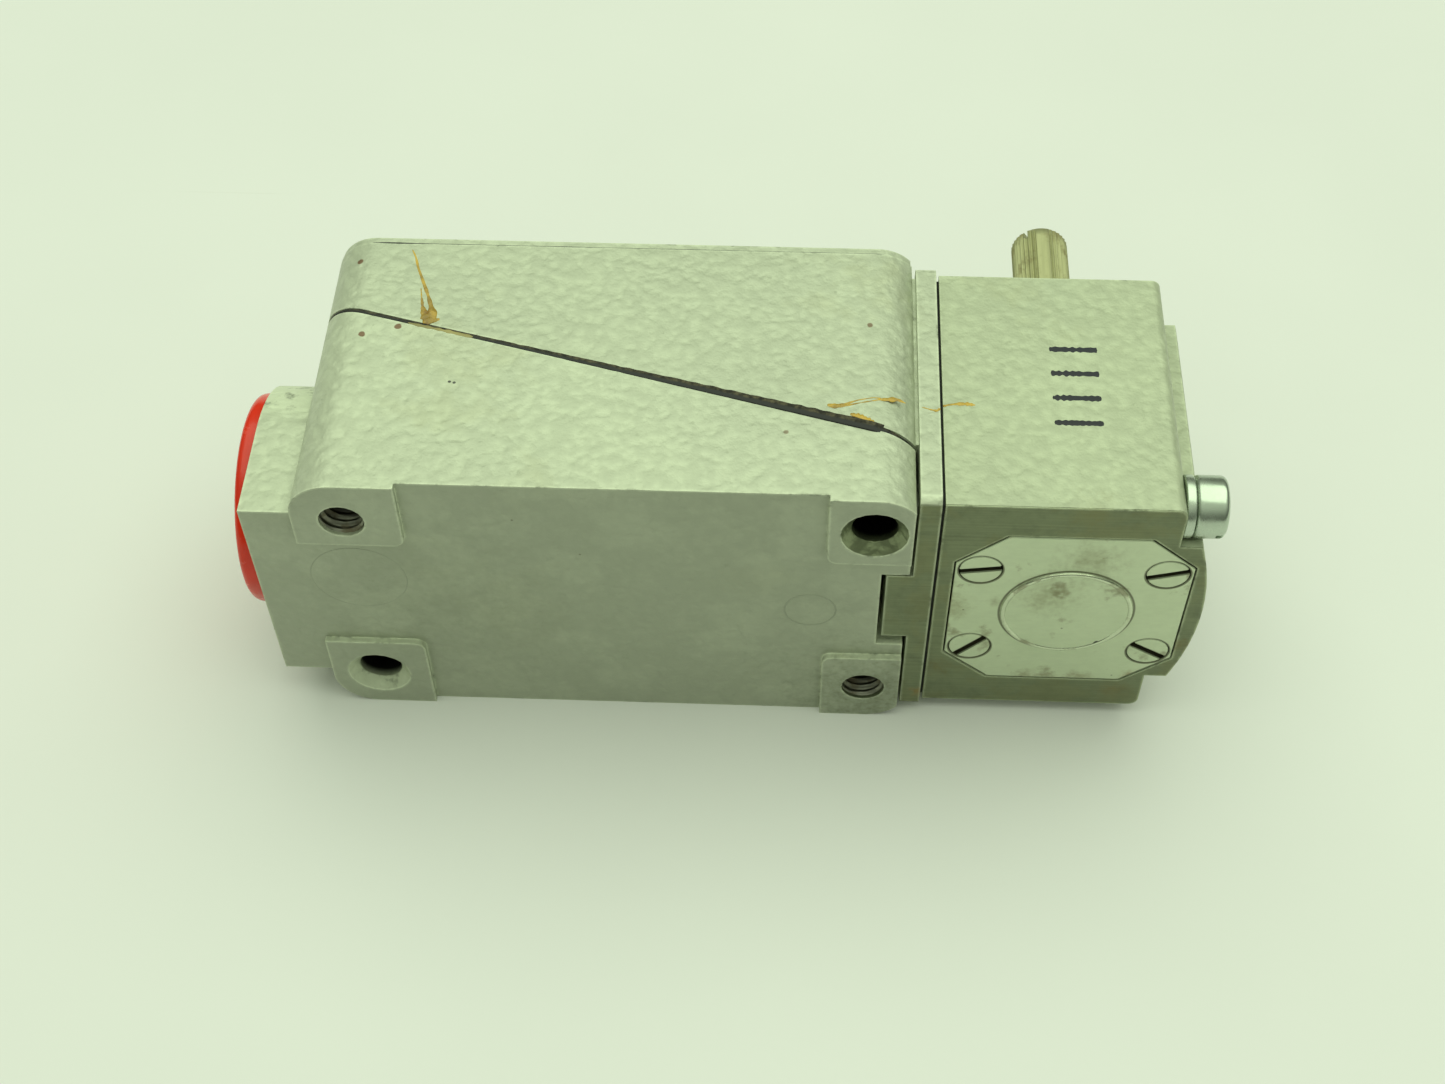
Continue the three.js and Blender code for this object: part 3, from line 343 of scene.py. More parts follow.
def eased_copy(node, name, width, segments=2):
    """A merged copy of a CAD node, with its sharp edges rounded and its flat faces shaded
    level."""
    mesh = frame["nodes"][node].data.copy()
    mesh.materials.clear()
    shell = bmesh.new()
    shell.from_mesh(mesh)
    bmesh.ops.remove_doubles(shell, verts=shell.verts, dist=CAD_WELD)
    bmesh.ops.dissolve_degenerate(shell, edges=shell.edges, dist=CAD_WELD / 2)
    bmesh.ops.dissolve_limit(
        shell, angle_limit=math.radians(1.5), verts=shell.verts, edges=shell.edges)
    shell.to_mesh(mesh)
    shell.free()
    smooth(mesh, EASED_FROM)
    piece = object_from(name, mesh)
    bevel = piece.modifiers.new("Eased edges", "BEVEL")
    bevel.width = width
    bevel.segments = segments
    bevel.limit_method = "ANGLE"
    bevel.angle_limit = math.radians(EASED_FROM)
    bevel.use_clamp_overlap = True
    level = piece.modifiers.new("Level shading", "WEIGHTED_NORMAL")
    level.keep_sharp = True
    return piece


def fit(piece, material, slot, *nodes):
    """Gives a piece its material and the body it rides, and hides the nodes it stands for. The
    slot is not used.
    """
    piece.data.materials.clear()
    piece.data.materials.append(material)
    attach(piece, body_of(nodes[0]) if nodes else "root")
    if nodes:
        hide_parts(*nodes)


def middle_of(node):
    """The low corner, the high corner and the middle of a CAD node's box."""
    low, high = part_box(node)
    return low, high, (low + high) / 2


def body_of(node):
    """The CAD body that a node belongs to."""
    bodies = frame["record"]["behaviour"]["bodies"]
    return next(name for name, members in bodies.items() if node in members)


def wander(t, seed, waves=9, low=1.0, high=40.0):
    """A smooth random line from -1 to 1: a mean of sine waves with seeded pitch and phase."""
    draw = np.random.default_rng(seed)
    pitch = draw.uniform(low, high, waves)
    phase = draw.uniform(0, 2 * np.pi, waves)
    return np.sin(t[..., None] * pitch * 2 * np.pi + phase).mean(-1) * 2


# --- material effects


class Graph:
    """Adds nodes to a tree and joins them by socket name."""

    def __init__(self, tree):
        self.tree = tree

    def add(self, kind, sockets=None, **settings):
        """A node with its settings, whose sockets take a value or another socket."""
        node = self.tree.nodes.new("ShaderNode" + kind)
        for key, value in settings.items():
            setattr(node, key, value)
        for key, value in (sockets or {}).items():
            self.put(node.inputs[key], value)
        return node

    def put(self, socket, value):
        """Joins a result to a socket, or sets the socket to a plain value."""
        if isinstance(value, bpy.types.NodeSocket):
            self.tree.links.new(value, socket)
        else:
            socket.default_value = value

    def math(self, operation, *values, clamp=False):
        """The result of one sum."""
        return self.add(
            "Math", dict(enumerate(values)), operation=operation, use_clamp=clamp).outputs[0]

    def plus(self, a, b):
        """The sum of two values."""
        return self.math("ADD", a, b)

    def minus(self, a, b):
        """The first value less the second."""
        return self.math("SUBTRACT", a, b)

    def times(self, a, b):
        """The product of two values."""
        return self.math("MULTIPLY", a, b)

    def split(self, vector):
        """The X, Y and Z of a vector."""
        return self.add("SeparateXYZ", {0: vector}).outputs

    def vector(self, operation, a, b):
        """The result of one sum of vectors."""
        outputs = self.add("VectorMath", {0: a, 1: b}, operation=operation).outputs
        return outputs["Value" if operation in ("DISTANCE", "DOT_PRODUCT") else "Vector"]

    def place(self):
        """The object's own coordinates."""
        return self.add("TexCoord").outputs["Object"]

    def lay(self, base, mask, strength, tint):
        """A tint laid over a base colour where the mask is 1, at a strength."""
        return self.mix(self.times(mask, strength), base, tint)

    def shade(self, value, tint, low, high):
        """A tint whose brightness goes from low to high with a cloudy value."""
        return self.mix(self.ramp(value, 0.3, 0.7), rgba(tint, low), rgba(tint, high))

    def ramp(self, value, low, high, to_low=0.0, to_high=1.0):
        """Value taken smoothly from low..high to to_low..to_high."""
        node = self.add(
            "MapRange",
            {"Value": value, "From Min": low, "From Max": high, "To Min": to_low,
             "To Max": to_high},
            interpolation_type="SMOOTHSTEP")
        return node.outputs["Result"]

    def mix(self, factor, a, b):
        """Colour a where factor is 0, and b where it is 1."""
        node = self.add("Mix", data_type="RGBA")
        for index, value in ((0, factor), (6, a), (7, b)):
            self.put(node.inputs[index], value)
        return node.outputs[2]

    def noise(self, vector, scale, detail=3.0, roughness=0.55):
        """Cloudy noise, 0 to 1, on a vector."""
        return self.add(
            "TexNoise",
            {"Vector": vector, "Scale": scale, "Detail": detail, "Roughness": roughness},
        ).outputs["Fac"]

    def group(self, name, **values):
        """A shared effect, placed with its own values."""
        node = self.add("Group", node_tree=EFFECTS[name]())
        for key, value in values.items():
            self.put(node.inputs[label_of(key)], value)
        return node.outputs

    def stains(self, scale, level, shift=(0.0, 0.0, 0.0)):
        """The mask of the stains effect."""
        return self.group("stains", scale=scale, level=level, shift=shift)["Mask"]


EFFECTS = {}


def label_of(key):
    """A socket's label, from the word that names it in the code."""
    return key.replace("_", " ").capitalize()


def effect(name, outputs, **inputs):
    """Keeps a function that fills a node group, which is made once, on first use. Each
    input is named with its default, and a default of three numbers makes it a vector."""

    def keep(build):
        def made():
            if name in bpy.data.node_groups:
                return bpy.data.node_groups[name]
            tree = bpy.data.node_groups.new(name, "ShaderNodeTree")
            for key, default in inputs.items():
                kind = "NodeSocketVector" if isinstance(default, tuple) else "NodeSocketFloat"
                socket = tree.interface.new_socket(
                    label_of(key), in_out="INPUT", socket_type=kind)
                socket.default_value = default
            for label in outputs:
                tree.interface.new_socket(
                    label, in_out="OUTPUT", socket_type="NodeSocketFloat")
            g = Graph(tree)
            inside = tree.nodes.new("NodeGroupInput").outputs
            outside = tree.nodes.new("NodeGroupOutput")
            for label, socket in build(g, inside).items():
                tree.links.new(socket, outside.inputs[label])
            return tree

        EFFECTS[build.__name__] = made
        return build

    return keep


@effect("Hammered paint", ["Height", "Tone"], cell=0.002)
def hammered(g, inside):
    """Soft dimples: smooth cells whose centres sink and whose borders stand up."""
    place = g.place()
    bend = g.add(
        "TexNoise", {"Vector": place, "Scale": 260.0, "Detail": 2.0}).outputs["Color"]
    shift = g.vector("SUBTRACT", bend, (0.5, 0.5, 0.5))
    scaled = g.add(
        "VectorMath", {0: shift, "Scale": 0.0022}, operation="SCALE")
    moved = g.vector("ADD", place, scaled.outputs[0])
    density = g.math("DIVIDE", 1.0, inside["Cell"])
    cells = g.add(
        "TexVoronoi", {"Vector": moved, "Scale": density, "Smoothness": 0.8},
        feature="SMOOTH_F1")
    fine = g.noise(place, 2300.0, 3.0)
    coarse = g.noise(place, 760.0, 2.0)
    cell = g.ramp(cells.outputs["Distance"], 0.0, 0.8)
    grain = g.plus(g.times(fine, 0.3), g.times(coarse, 0.7))
    height = g.plus(g.times(cell, 0.55), grain)
    tone = g.noise(place, 45.0, 4.0)
    return {"Height": height, "Tone": tone}


@effect("Edge wear", ["Edge", "Mask"], width=0.0005, broken=0.5, slanted=0.0)
def edge_wear_and_highlight(g, inside):
    """Edges: Edge is 1 where the true normal leaves the rounded one and, with Slanted at 1,
    where it slants between the depth axis and the sides; the cast paint lays a painted
    highlight on it. Mask is Edge broken up by noise, for worn edges."""
    place = g.place()
    true = g.add("NewGeometry").outputs["Normal"]
    round_ = g.add("Bevel", {"Radius": inside["Width"]}, samples=4).outputs["Normal"]
    close = g.vector("DOT_PRODUCT", true, round_)
    bend = g.minus(1.0, close)
    patch = g.ramp(g.noise(place, 420.0, 5.0, 0.65), inside["Broken"], 0.72)
    side = g.math("ABSOLUTE", g.split(true)["Y"])
    slant = g.times(g.ramp(side, 0.1, 0.3), g.ramp(side, 0.8, 0.97, 1.0, 0.0))
    slant = g.times(slant, inside["Slanted"])
    edge = g.math("MAXIMUM", g.ramp(bend, 0.008, 0.1), slant)
    return {"Edge": edge, "Mask": g.times(edge, patch)}


@effect("Stains", ["Mask"], scale=120.0, level=0.6, shift=(0, 0, 0))
def stains(g, inside):
    """Patches where cloudy noise passes a level."""
    place = g.place()
    moved = g.vector("ADD", place, inside["Shift"])
    cloud = g.noise(moved, inside["Scale"], 6.0, 0.62)
    top = g.plus(inside["Level"], 0.12)
    return {"Mask": g.ramp(cloud, inside["Level"], top)}


@effect("Specks", ["Mask"], spacing=0.006, size=0.0002)
def specks(g, inside):
    """Sparse small spots: cell centres, kept where the cell's own random value is high."""
    place = g.place()
    density = g.math("DIVIDE", 1.0, inside["Spacing"])
    cells = g.add("TexVoronoi", {"Vector": place, "Scale": density}, feature="F1")
    chance = g.add("SeparateColor", {0: cells.outputs["Color"]}).outputs[0]
    kept = g.math("GREATER_THAN", chance, 0.8)
    size = g.math("DIVIDE", inside["Size"], inside["Spacing"])
    dot = g.math("LESS_THAN", cells.outputs["Distance"], size)
    return {"Mask": g.times(kept, dot)}


@effect("Brushed lines", ["Height"], stretch=(100.0, 4000.0, 4000.0))
def brushed(g, inside):
    """Machining lines: noise drawn out by a different stretch along each axis."""
    place = g.place()
    drawn = g.vector("MULTIPLY", place, inside["Stretch"])
    return {"Height": g.noise(drawn, 1.0, 4.0, 0.6)}


@effect("Spot", ["Mask"], centre=(0, 0, 0), radius=0.001, soft=0.0)
def spot(g, inside):
    """One ragged round patch about a centre, sharp or, with Soft near 1, fading outwards."""
    place = g.place()
    away = g.vector("DISTANCE", place, inside["Centre"])
    cloud = g.plus(g.noise(place, 1400.0, 4.0), g.noise(place, 340.0, 5.0, 0.65))
    sway = g.times(inside["Radius"], g.plus(0.5, inside["Soft"]))
    reach = g.plus(away, g.times(cloud, sway))
    low = g.times(inside["Radius"], g.ramp(inside["Soft"], 0.0, 1.0, 1.0, 0.7))
    wide = g.ramp(inside["Soft"], 0.0, 1.0, 0.2, 1.9)
    high = g.plus(low, g.times(inside["Radius"], wide))
    return {"Mask": g.minus(1.0, g.ramp(reach, low, high))}


@effect("Ring", ["Mask"], centre=(0, 0, 0), radius=0.008, half_width=0.0002)
def ring(g, inside):
    """A thin line round a centre, at a set distance from it."""
    place = g.place()
    away = g.vector("DISTANCE", place, inside["Centre"])
    off = g.minus(away, inside["Radius"])
    share = g.math("DIVIDE", g.math("ABSOLUTE", off), inside["Half width"])
    return {"Mask": g.ramp(share, 0.5, 1.2, 1.0, 0.0)}


def rgba(values, factor=1.0):
    """A colour with full alpha, made lighter or darker."""
    return (*(min(1.0, v * factor) for v in values[:3]), 1.0)


def material(name):
    """A new material's graph and its shader."""
    made = bpy.data.materials.new(name)
    made.use_nodes = True
    tree = made.node_tree
    shader = next(n for n in tree.nodes if n.type == "BSDF_PRINCIPLED")
    return made, Graph(tree), shader


def dress(g, shader, base, rough, height=None, depth=0.0, metal=0.0):
    """Joins colour, roughness and metal to a shader, and to its normal a height, in parts
    of depth."""
    for label, value in (("Base Color", base), ("Roughness", rough), ("Metallic", metal)):
        g.put(shader.inputs[label], value)
    if height is not None:
        node = g.add("Bump", {"Height": height, "Distance": depth, "Strength": 1.0})
        g.put(shader.inputs["Normal"], node.outputs["Normal"])


def near_mask(g, y, soft=0.00005):
    """1 on everything nearer the mounting face than y, given in layout millimetres."""
    place = g.place()
    depth = g.split(place)["Y"]
    edge = at(0, y, 0).y
    return g.ramp(depth, edge - soft, edge + soft, 1.0, 0.0)


def facing_near(g):
    """1 where the surface looks out of the mounting face, and 0 on edges and sides."""
    normal = g.add("NewGeometry").outputs["Normal"]
    outward = g.times(g.split(normal)["Y"], -1.0)
    return g.ramp(outward, 0.75, 0.95)


def bore_mask(g, y, reach, soft):
    """1 within reach of the four mounting holes' axes and deeper than y. The holes lie
    evenly about the layout origin, so distances from it are folded on to one of them."""
    place = g.place()
    parts = g.split(place)
    across = []
    for axis, middle, half in (("X", LAYOUT_ORIGIN.x, HOLE_X), ("Z", LAYOUT_ORIGIN.z, HOLE_Z)):
        away = g.math("ABSOLUTE", g.minus(parts[axis], middle))
        away = g.minus(away, half * MM)
        across.append(g.times(away, away))
    radius = g.math("SQRT", g.plus(*across))
    inside = g.math("LESS_THAN", radius, reach * MM)
    deep = g.minus(1.0, near_mask(g, y, soft * MM))
    return g.times(inside, deep)


def spotted(g, base, spots):
    """A base colour with ragged spots, each with its centre and radius in layout
    millimetres, its tint, its strength and its softness."""
    for centre, radius, tint, strength, soft in spots:
        mask = g.group("spot", centre=at(*centre), radius=radius * MM, soft=soft)["Mask"]
        base = g.lay(base, mask, strength, tint)
    return base


OCHRE, GREASE = (0.44, 0.44, 0.22), (0.22, 0.22, 0.10)


def cast_paint(name, settings, paint, depth, spots, smooth_shaded_below=None, bare_below=None,
               bores=False):
    """Hammered silver paint: dimples, cloudy tone, worn edges under a painted edge highlight,
    specks and stains; the spots can also hold painted shade and light, and with bores the
    mounting holes get bare countersinks and near-black painted shade deep inside. Below one
    depth the surface is smooth and, where it looks out of the mounting face, darkened by
    painted shade, and below another it is bare machined zinc."""
    made, g, shader = material(name)
    skin = g.group("hammered", cell=settings.cell)
    base = g.shade(skin["Tone"], paint, 0.93, 1.05)
    crest = g.ramp(skin["Height"], 0.5, 1.1)
    base = g.lay(base, crest, 0.45, rgba(paint, 0.72))
    yellow = g.stains(60.0, 0.56)
    base = g.lay(base, yellow, 0.16, rgba(OCHRE))
    scuffs = g.stains(520.0, 0.64, (0.0, 0.2, 0.0))
    base = g.lay(base, scuffs, 0.35, rgba(settings.bare, 0.7))
    hairs = g.stains(95.0, 0.5, (0.0, 0.0, 0.4))
    fold = g.math("ABSOLUTE", g.minus(hairs, 0.5))
    scratch = g.times(g.ramp(fold, 0.0, 0.03, 1.0, 0.0), scuffs)
    base = g.lay(base, scratch, 0.7, rgba(settings.bare, 0.3))
    metal = 0.2
    rough = g.ramp(skin["Tone"], 0.2, 0.8, 0.38, 0.52)
    relief = skin["Height"]
    if smooth_shaded_below is not None:
        # Painted shade: faces that look out of the mounting face are laid over with paint 0.62
        # as bright, as the side turned away from the lamp, and their relief is softened.
        flat = g.times(near_mask(g, smooth_shaded_below), facing_near(g))
        base = g.lay(base, flat, 0.68, rgba(paint, 0.62))
        relief = g.times(relief, g.ramp(flat, 0.0, 1.0, 1.0, 0.8))
        blotch = g.stains(110.0, 0.42, (0.3, 0.1, 0.0))
        base = g.lay(base, g.times(blotch, flat), 0.2, rgba(paint, 0.42))
    if bare_below is not None:
        bare = near_mask(g, bare_below)
        lines = g.group("brushed", stretch=(60.0, 2500.0, 3600.0))["Height"]
        cloud = g.stains(160.0, 0.47, (0.1, 0.0, 0.0))
        mottle = g.noise(g.place(), 420.0, 5.0, 0.7)
        zinc = g.shade(lines, settings.bare, 0.9, 1.1)
        zinc = g.mix(g.ramp(mottle, 0.4, 0.75, 0.0, 0.5), zinc, rgba(settings.bare, 0.55))
        zinc = g.lay(zinc, cloud, 0.35, rgba(GREASE))
        base = g.mix(bare, base, zinc)
        metal = g.ramp(bare, 0.0, 1.0, 0.2, 0.6)
        rough = g.math("MAXIMUM", rough, g.times(bare, 0.5))
        relief = g.times(relief, g.minus(1.0, bare))
        relief = g.plus(relief, g.times(g.times(lines, bare), 0.2))
    wear_and_highlight = g.group("edge_wear_and_highlight", width=0.0005, broken=0.5, slanted=1.0)
    # Painted highlight: paint 1.4 times as bright laid along every edge; the worn, broken-up
    # darker edges follow.
    base = g.lay(base, wear_and_highlight["Edge"], 0.6, rgba(paint, 1.4))
    base = g.lay(base, wear_and_highlight["Mask"], 0.85, rgba(settings.bare, 0.3))
    dots = g.group("specks", spacing=0.0075, size=0.0002)["Mask"]
    base = g.lay(base, dots, 0.55, (0.1, 0.085, 0.05, 1.0))
    base = spotted(g, base, spots)
    if bores:
        place = g.split(g.place())
        shown = g.ramp(place["X"], LAYOUT_ORIGIN.x - MM, LAYOUT_ORIGIN.x + MM, 0.25, 1.0)
        sunk = g.times(bore_mask(g, 0.12, SINK_R, 0.03), shown)
        base = g.mix(sunk, base, rgba(settings.bare, 1.15))
        metal = g.ramp(sunk, 0.0, 1.0, 0.2, 0.75)
        rough = g.minus(rough, g.times(sunk, 0.1))
        # Painted shade: near black deep inside the mounting holes.
        base = g.mix(bore_mask(g, 1.9, HOLE_R + 0.08, 0.6), base, (0.006, 0.006, 0.004, 1.0))
    dress(g, shader, base, rough, relief, depth, metal)
    return made


def plated(name, tint, rough_low, rough_high, stretch, grime=0.35, level=0.58, spots=(),
           lined=1.0, metallic=1.0, shade_from=None, outlines=()):
    """Plated or drawn metal: fine lines, cloudy gloss, brown stains and darker worn edges.
    Everything deeper than the given depth, in layout millimetres, is filled near black without
    metal, painted shade in the recesses, and thin lines go round the centres that outlines
    gives with their radii."""
    made, g, shader = material(name)
    lines = g.group("brushed", stretch=stretch)["Height"]
    base = g.shade(lines, tint, 1 - 0.1 * lined, 1 + 0.06 * lined)
    brown = g.stains(210.0, level, (0.0, 0.03, 0.0))
    base = g.lay(base, brown, grime, (0.16, 0.105, 0.03, 1.0))
    worn = g.group("edge_wear_and_highlight", width=0.00025, broken=0.42)["Mask"]
    base = g.lay(base, worn, 0.5, rgba(tint, 0.35))
    base = spotted(g, base, spots)
    dots = g.group("specks", spacing=0.0024, size=0.00014)["Mask"]
    base = g.lay(base, dots, grime, (0.06, 0.05, 0.025, 1.0))
    for centre, radius in outlines:
        line = g.group("ring", centre=centre, radius=radius, half_width=0.00016)["Mask"]
        base = g.lay(base, line, 0.75, (0.07, 0.06, 0.03, 1.0))
    place = g.place()
    cloud = g.noise(place, 260.0, 4.0)
    rough = g.ramp(cloud, 0.3, 0.7, rough_low, rough_high)
    rough = g.math("ADD", rough, g.times(brown, 0.25), clamp=True)
    metal = g.ramp(brown, 0.0, 1.0, metallic, metallic * (1 - grime))
    if shade_from is not None:
        # Painted shade: near black, without metal, deeper than the given depth.
        dirt = g.minus(1.0, near_mask(g, shade_from, 0.00006))
        base = g.mix(dirt, base, (0.045, 0.04, 0.022, 1.0))
        metal = g.times(metal, g.minus(1.0, dirt))
    relief = g.plus(g.times(lines, lined), g.times(cloud, 0.5))
    dress(g, shader, base, rough, relief, 0.00001, metal)
    return made


def moulded(name, tint, rough, texture=0.00001, mottle=0.12, scale=700.0):
    """Moulded plastic or rubber: a fine skin, cloudy tone, dust in patches."""
    made, g, shader = material(name)
    place = g.place()
    cloud = g.noise(place, 130.0, 4.0)
    base = g.shade(cloud, tint, 1 - mottle, 1 + mottle)
    dust = g.stains(90.0, 0.6, (0.02, 0.0, 0.05))
    base = g.lay(base, dust, 0.08, (0.42, 0.40, 0.30, 1.0))
    gloss = g.ramp(cloud, 0.3, 0.7, rough, rough + 0.12)
    dress(g, shader, base, gloss, g.noise(place, scale, 3.0), texture)
    return made


def finishes():
    """For each slot of the record, a function that makes its material."""
    hardware = bpy.context.scene.switch_hardware
    gaskets = bpy.context.scene.switch_gaskets
    plate_spots = [
        ((57.0, 1.2, -5.8), 0.6, (0.01, 0.01, 0.01, 1.0), 0.95, 0.0),
        ((44.3, 1.2, 1.6), 1.2, (0.16, 0.12, 0.03, 1.0), 0.6, 1.0),
        ((39.3, 1.2, 0.5), 3.4, (0.20, 0.16, 0.04, 1.0), 0.75, 1.0),
        ((50.5, 1.2, 3.4), 5.0, (0.20, 0.18, 0.07, 1.0), 0.6, 1.0),
        ((54.5, 1.2, 10.0), 5.0, (0.18, 0.15, 0.06, 1.0), 0.6, 1.0),
        ((49.4, 1.2, -13.6), 1.8, (0.18, 0.11, 0.02, 1.0), 0.9, 1.0),
        ((55.8, 1.2, -13.6), 2.0, (0.18, 0.11, 0.02, 1.0), 0.9, 1.0),
        ((62.0, 1.2, -13.0), 1.4, (0.24, 0.12, 0.02, 1.0), 0.9, 1.0),
    ]
    outlines = [(at(SHAFT_X, DISC_Y + 0.2, 0), (DISC_R + 0.16) * MM)]
    for index in range(1, 5):
        centre = middle_of(f"plate_screw_{index}")[2]
        centre.y = at(0, DISC_Y + 0.2, 0).y
        outlines.append((centre, (PLATE_SCREW_R + 0.12) * MM))
    return {
        # Painted shade: the plate turns near black deeper than 1.6 mm, in its holes.
        "zinc_plate": lambda: plated(
            "Bright plate", hardware.plate, 0.3, 0.44, (700.0, 1500.0, 1500.0),
            grime=0.5, level=0.57, spots=plate_spots, lined=0.3, metallic=0.55,
            shade_from=1.6, outlines=outlines),
        "zinc_screw": lambda: plated(
            "Zinc-plated steel", hardware.plating, 0.16, 0.3, (900.0, 500.0, 500.0),
            grime=0.3, level=0.6, lined=0.3, metallic=0.9),
        "hard_steel": lambda: plated(
            "Hardened steel", (0.42, 0.42, 0.40), 0.28, 0.42, (900.0, 3000.0, 3000.0), 0.25),
        "spring_steel": lambda: plated(
            "Spring steel", (0.30, 0.31, 0.32), 0.25, 0.4, (2500.0, 2500.0, 2500.0), 0.15),
        "bronze": lambda: plated(
            "Sintered bronze", (0.45, 0.27, 0.11), 0.4, 0.55, (3000.0, 3000.0, 3000.0), 0.25),
        "brass": lambda: plated(
            "Brass", (0.62, 0.44, 0.14), 0.28, 0.42, (400.0, 3000.0, 3000.0), 0.2),
        "silver_contact": lambda: plated(
            "Silver contact", (0.75, 0.74, 0.70), 0.22, 0.38, (2500.0, 400.0, 2500.0), 0.2),
        "black_rubber": lambda: moulded("Black rubber", gaskets.rubber, 0.62, 0.00002),
        "black_phenolic": lambda: moulded("Black phenolic", (0.02, 0.018, 0.016), 0.34),
    }


FINISH = {}


def finish_of(slot):
    """The material of a record slot, made on first use."""
    if slot not in FINISH:
        FINISH[slot] = finishes()[slot]()
    return FINISH[slot]


# --- castings


class LIMITSWITCH_OT_castings(bpy.types.Operator):
    """Make the painted castings: base, switch body, far cover and head"""

    bl_idname = "limitswitch.castings"
    bl_label = "Castings"

    def execute(self, context):
        s = context.scene.switch_castings
        rust = (0.17, 0.075, 0.03, 1.0)
        base_stains_and_painted_light = [
            ((-29.97, 22.94, 21.2), 0.7, rust, 0.9, 0.0),
            ((-25.92, 24.34, 21.2), 0.7, rust, 0.9, 0.0),
            ((-18.86, 15.88, 21.2), 0.3, (0.03, 0.03, 0.03, 1.0), 0.9, 0.0),
            ((-18.31, 15.75, 21.2), 0.3, (0.03, 0.03, 0.03, 1.0), 0.9, 0.0),
            ((19.58, 9.65, 21.2), 0.5, rust, 0.6, 0.0),
            # Painted shade: a broad, soft, dark patch over the lower right pad.
            ((31.5, 0.0, -17.5), 13.0, (0.12, 0.14, 0.07, 1.0), 0.9, 1.0),
            # Painted light: paint laid back over the shaded near face round the upper left pad,
            # so it is lighter there.
            ((-30.0, 0.0, 14.0), 8.0, rgba(s.paint, 0.95), 0.55, 1.0),
            # A broad, soft, darker patch over the left of the near face.
            ((-20.0, 0.8, -2.0), 20.0, (0.16, 0.18, 0.10, 1.0), 0.3, 1.0),
        ]
        fresh = [shade * 1.05 for shade in s.paint]
        # The base's near face is darkened by painted shade, and its mounting holes are near
        # black with painted shade.
        base_paint = cast_paint(
            "Hammered paint on the base", s, fresh, s.dimple, base_stains_and_painted_light,
            smooth_shaded_below=1.0, bores=True)
        body_spots = [
            ((28.96, 26.31, 21.2), 0.6, rust, 0.75, 0.0),
            ((-31.98, 34.99, 21.0), 0.7, rust, 0.9, 0.0),
            ((36.6, 0.9, -17.0), 1.2, (0.32, 0.17, 0.03, 1.0), 0.9, 1.0),
        ]
        body_paint = cast_paint(
            "Hammered paint on the switch body", s, s.paint, s.dimple, body_spots,
            bare_below=1.1)
        head_spots = [
            ((66.7, 1.4, -6.2), 2.2, (0.20, 0.12, 0.02, 1.0), 0.9, 1.0),
            ((38.6, 1.4, -12.0), 2.6, (0.20, 0.15, 0.04, 1.0), 0.6, 1.0),
            ((60.0, 1.4, -16.0), 3.0, (0.22, 0.14, 0.03, 1.0), 0.5, 1.0),
            ((54.0, 1.4, 17.5), 4.0, (0.22, 0.20, 0.08, 1.0), 0.5, 1.0),
        ]
        head_paint = cast_paint(
            "Paint on the head", s, s.head, s.dimple * 0.8, head_spots, bare_below=1.55)
        for node, name, paint, width, segments in (
                ("base_housing", "base_casting", base_paint, s.ease, 3),
                ("switch_housing", "switch_body_casting", body_paint, s.ease, 3),
                ("front_plate", "far_cover", body_paint, s.ease * 0.7, 2),
                ("head_housing", "head_casting", head_paint, s.ease * 0.7, 2)):
            fit(eased_copy(node, name, width, segments), paint, "hammered_paint", node)
        # Painted shade: the ejector rings on the near face take paint 0.62 as bright, like the
        # painted shade of that face.
        shaded_paint = [shade * 0.62 for shade in s.paint]
        shaded_ring_paint = moulded("Shaded paint", shaded_paint, 0.45, 0.00001, 0.1)
        rings = [(22.93, -0.31, 3.0, 0.12), (-29.6, 3.6, 5.6, 0.08)]
        for index, (x, z, ring, tube) in enumerate(rings, 1):
            mark = torus(f"ejector_ring_{index}", x, 0.82, z, ring, tube, flat=0.6)
            fit(mark, shaded_ring_paint, "hammered_paint")
        return {"FINISHED"}


# --- threads


class LIMITSWITCH_OT_threads(bpy.types.Operator):
    """Cut the threads seen in the two tapped mounting holes"""

    bl_idname = "limitswitch.threads"
    bl_label = "Mounting threads"

    def execute(self, context):
        pitch = context.scene.switch_hardware.pitch / MM
        # Painted shade: the thread turns near black deeper than 2.6 mm into the hole.
        thread = plated(
            "Cut thread", (0.26, 0.26, 0.21), 0.34, 0.5, (3000.0, 3000.0, 3000.0),
            grime=0.5, level=0.5, shade_from=2.6)
        for index, (x, z) in enumerate([(-HOLE_X, HOLE_Z), (HOLE_X, -HOLE_Z)], 1):
            piece = self.sleeve(f"mounting_thread_{index}", x, z, pitch)
            fit(piece, thread, "hammered_paint")
        return {"FINISHED"}

    def sleeve(self, name, x, z, pitch):
        """A threaded sleeve. Its parameters are the height y and the angle a: the inner wall's
        radius is R - h * ridge(y / pitch - a / turn), with ridge a narrow cosine tooth, and
        the outer wall is a plain cylinder just inside the hole's wall."""
        near, far, tooth = 0.5, 6.4, 0.42
        y = np.linspace(near, far, int((far - near) / pitch * 12))
        a = circle(48)
        phase = y[:, None] / pitch - a[None] / (2 * np.pi)
        fade = np.clip((y - near) / 0.5, 0, 1)[:, None]
        ridge = (0.5 + 0.5 * np.cos(2 * np.pi * phase)) ** 1.5
        inner = HOLE_R - 0.03 - tooth * fade * ridge
        wall = about_y(x, z, inner, y[:, None], a)
        back = about_y(x, z, HOLE_R + 0.05, np.array([[far], [near]]), a)
        return surface(name, placed(np.vstack([wall, back])), True)


# --- plug


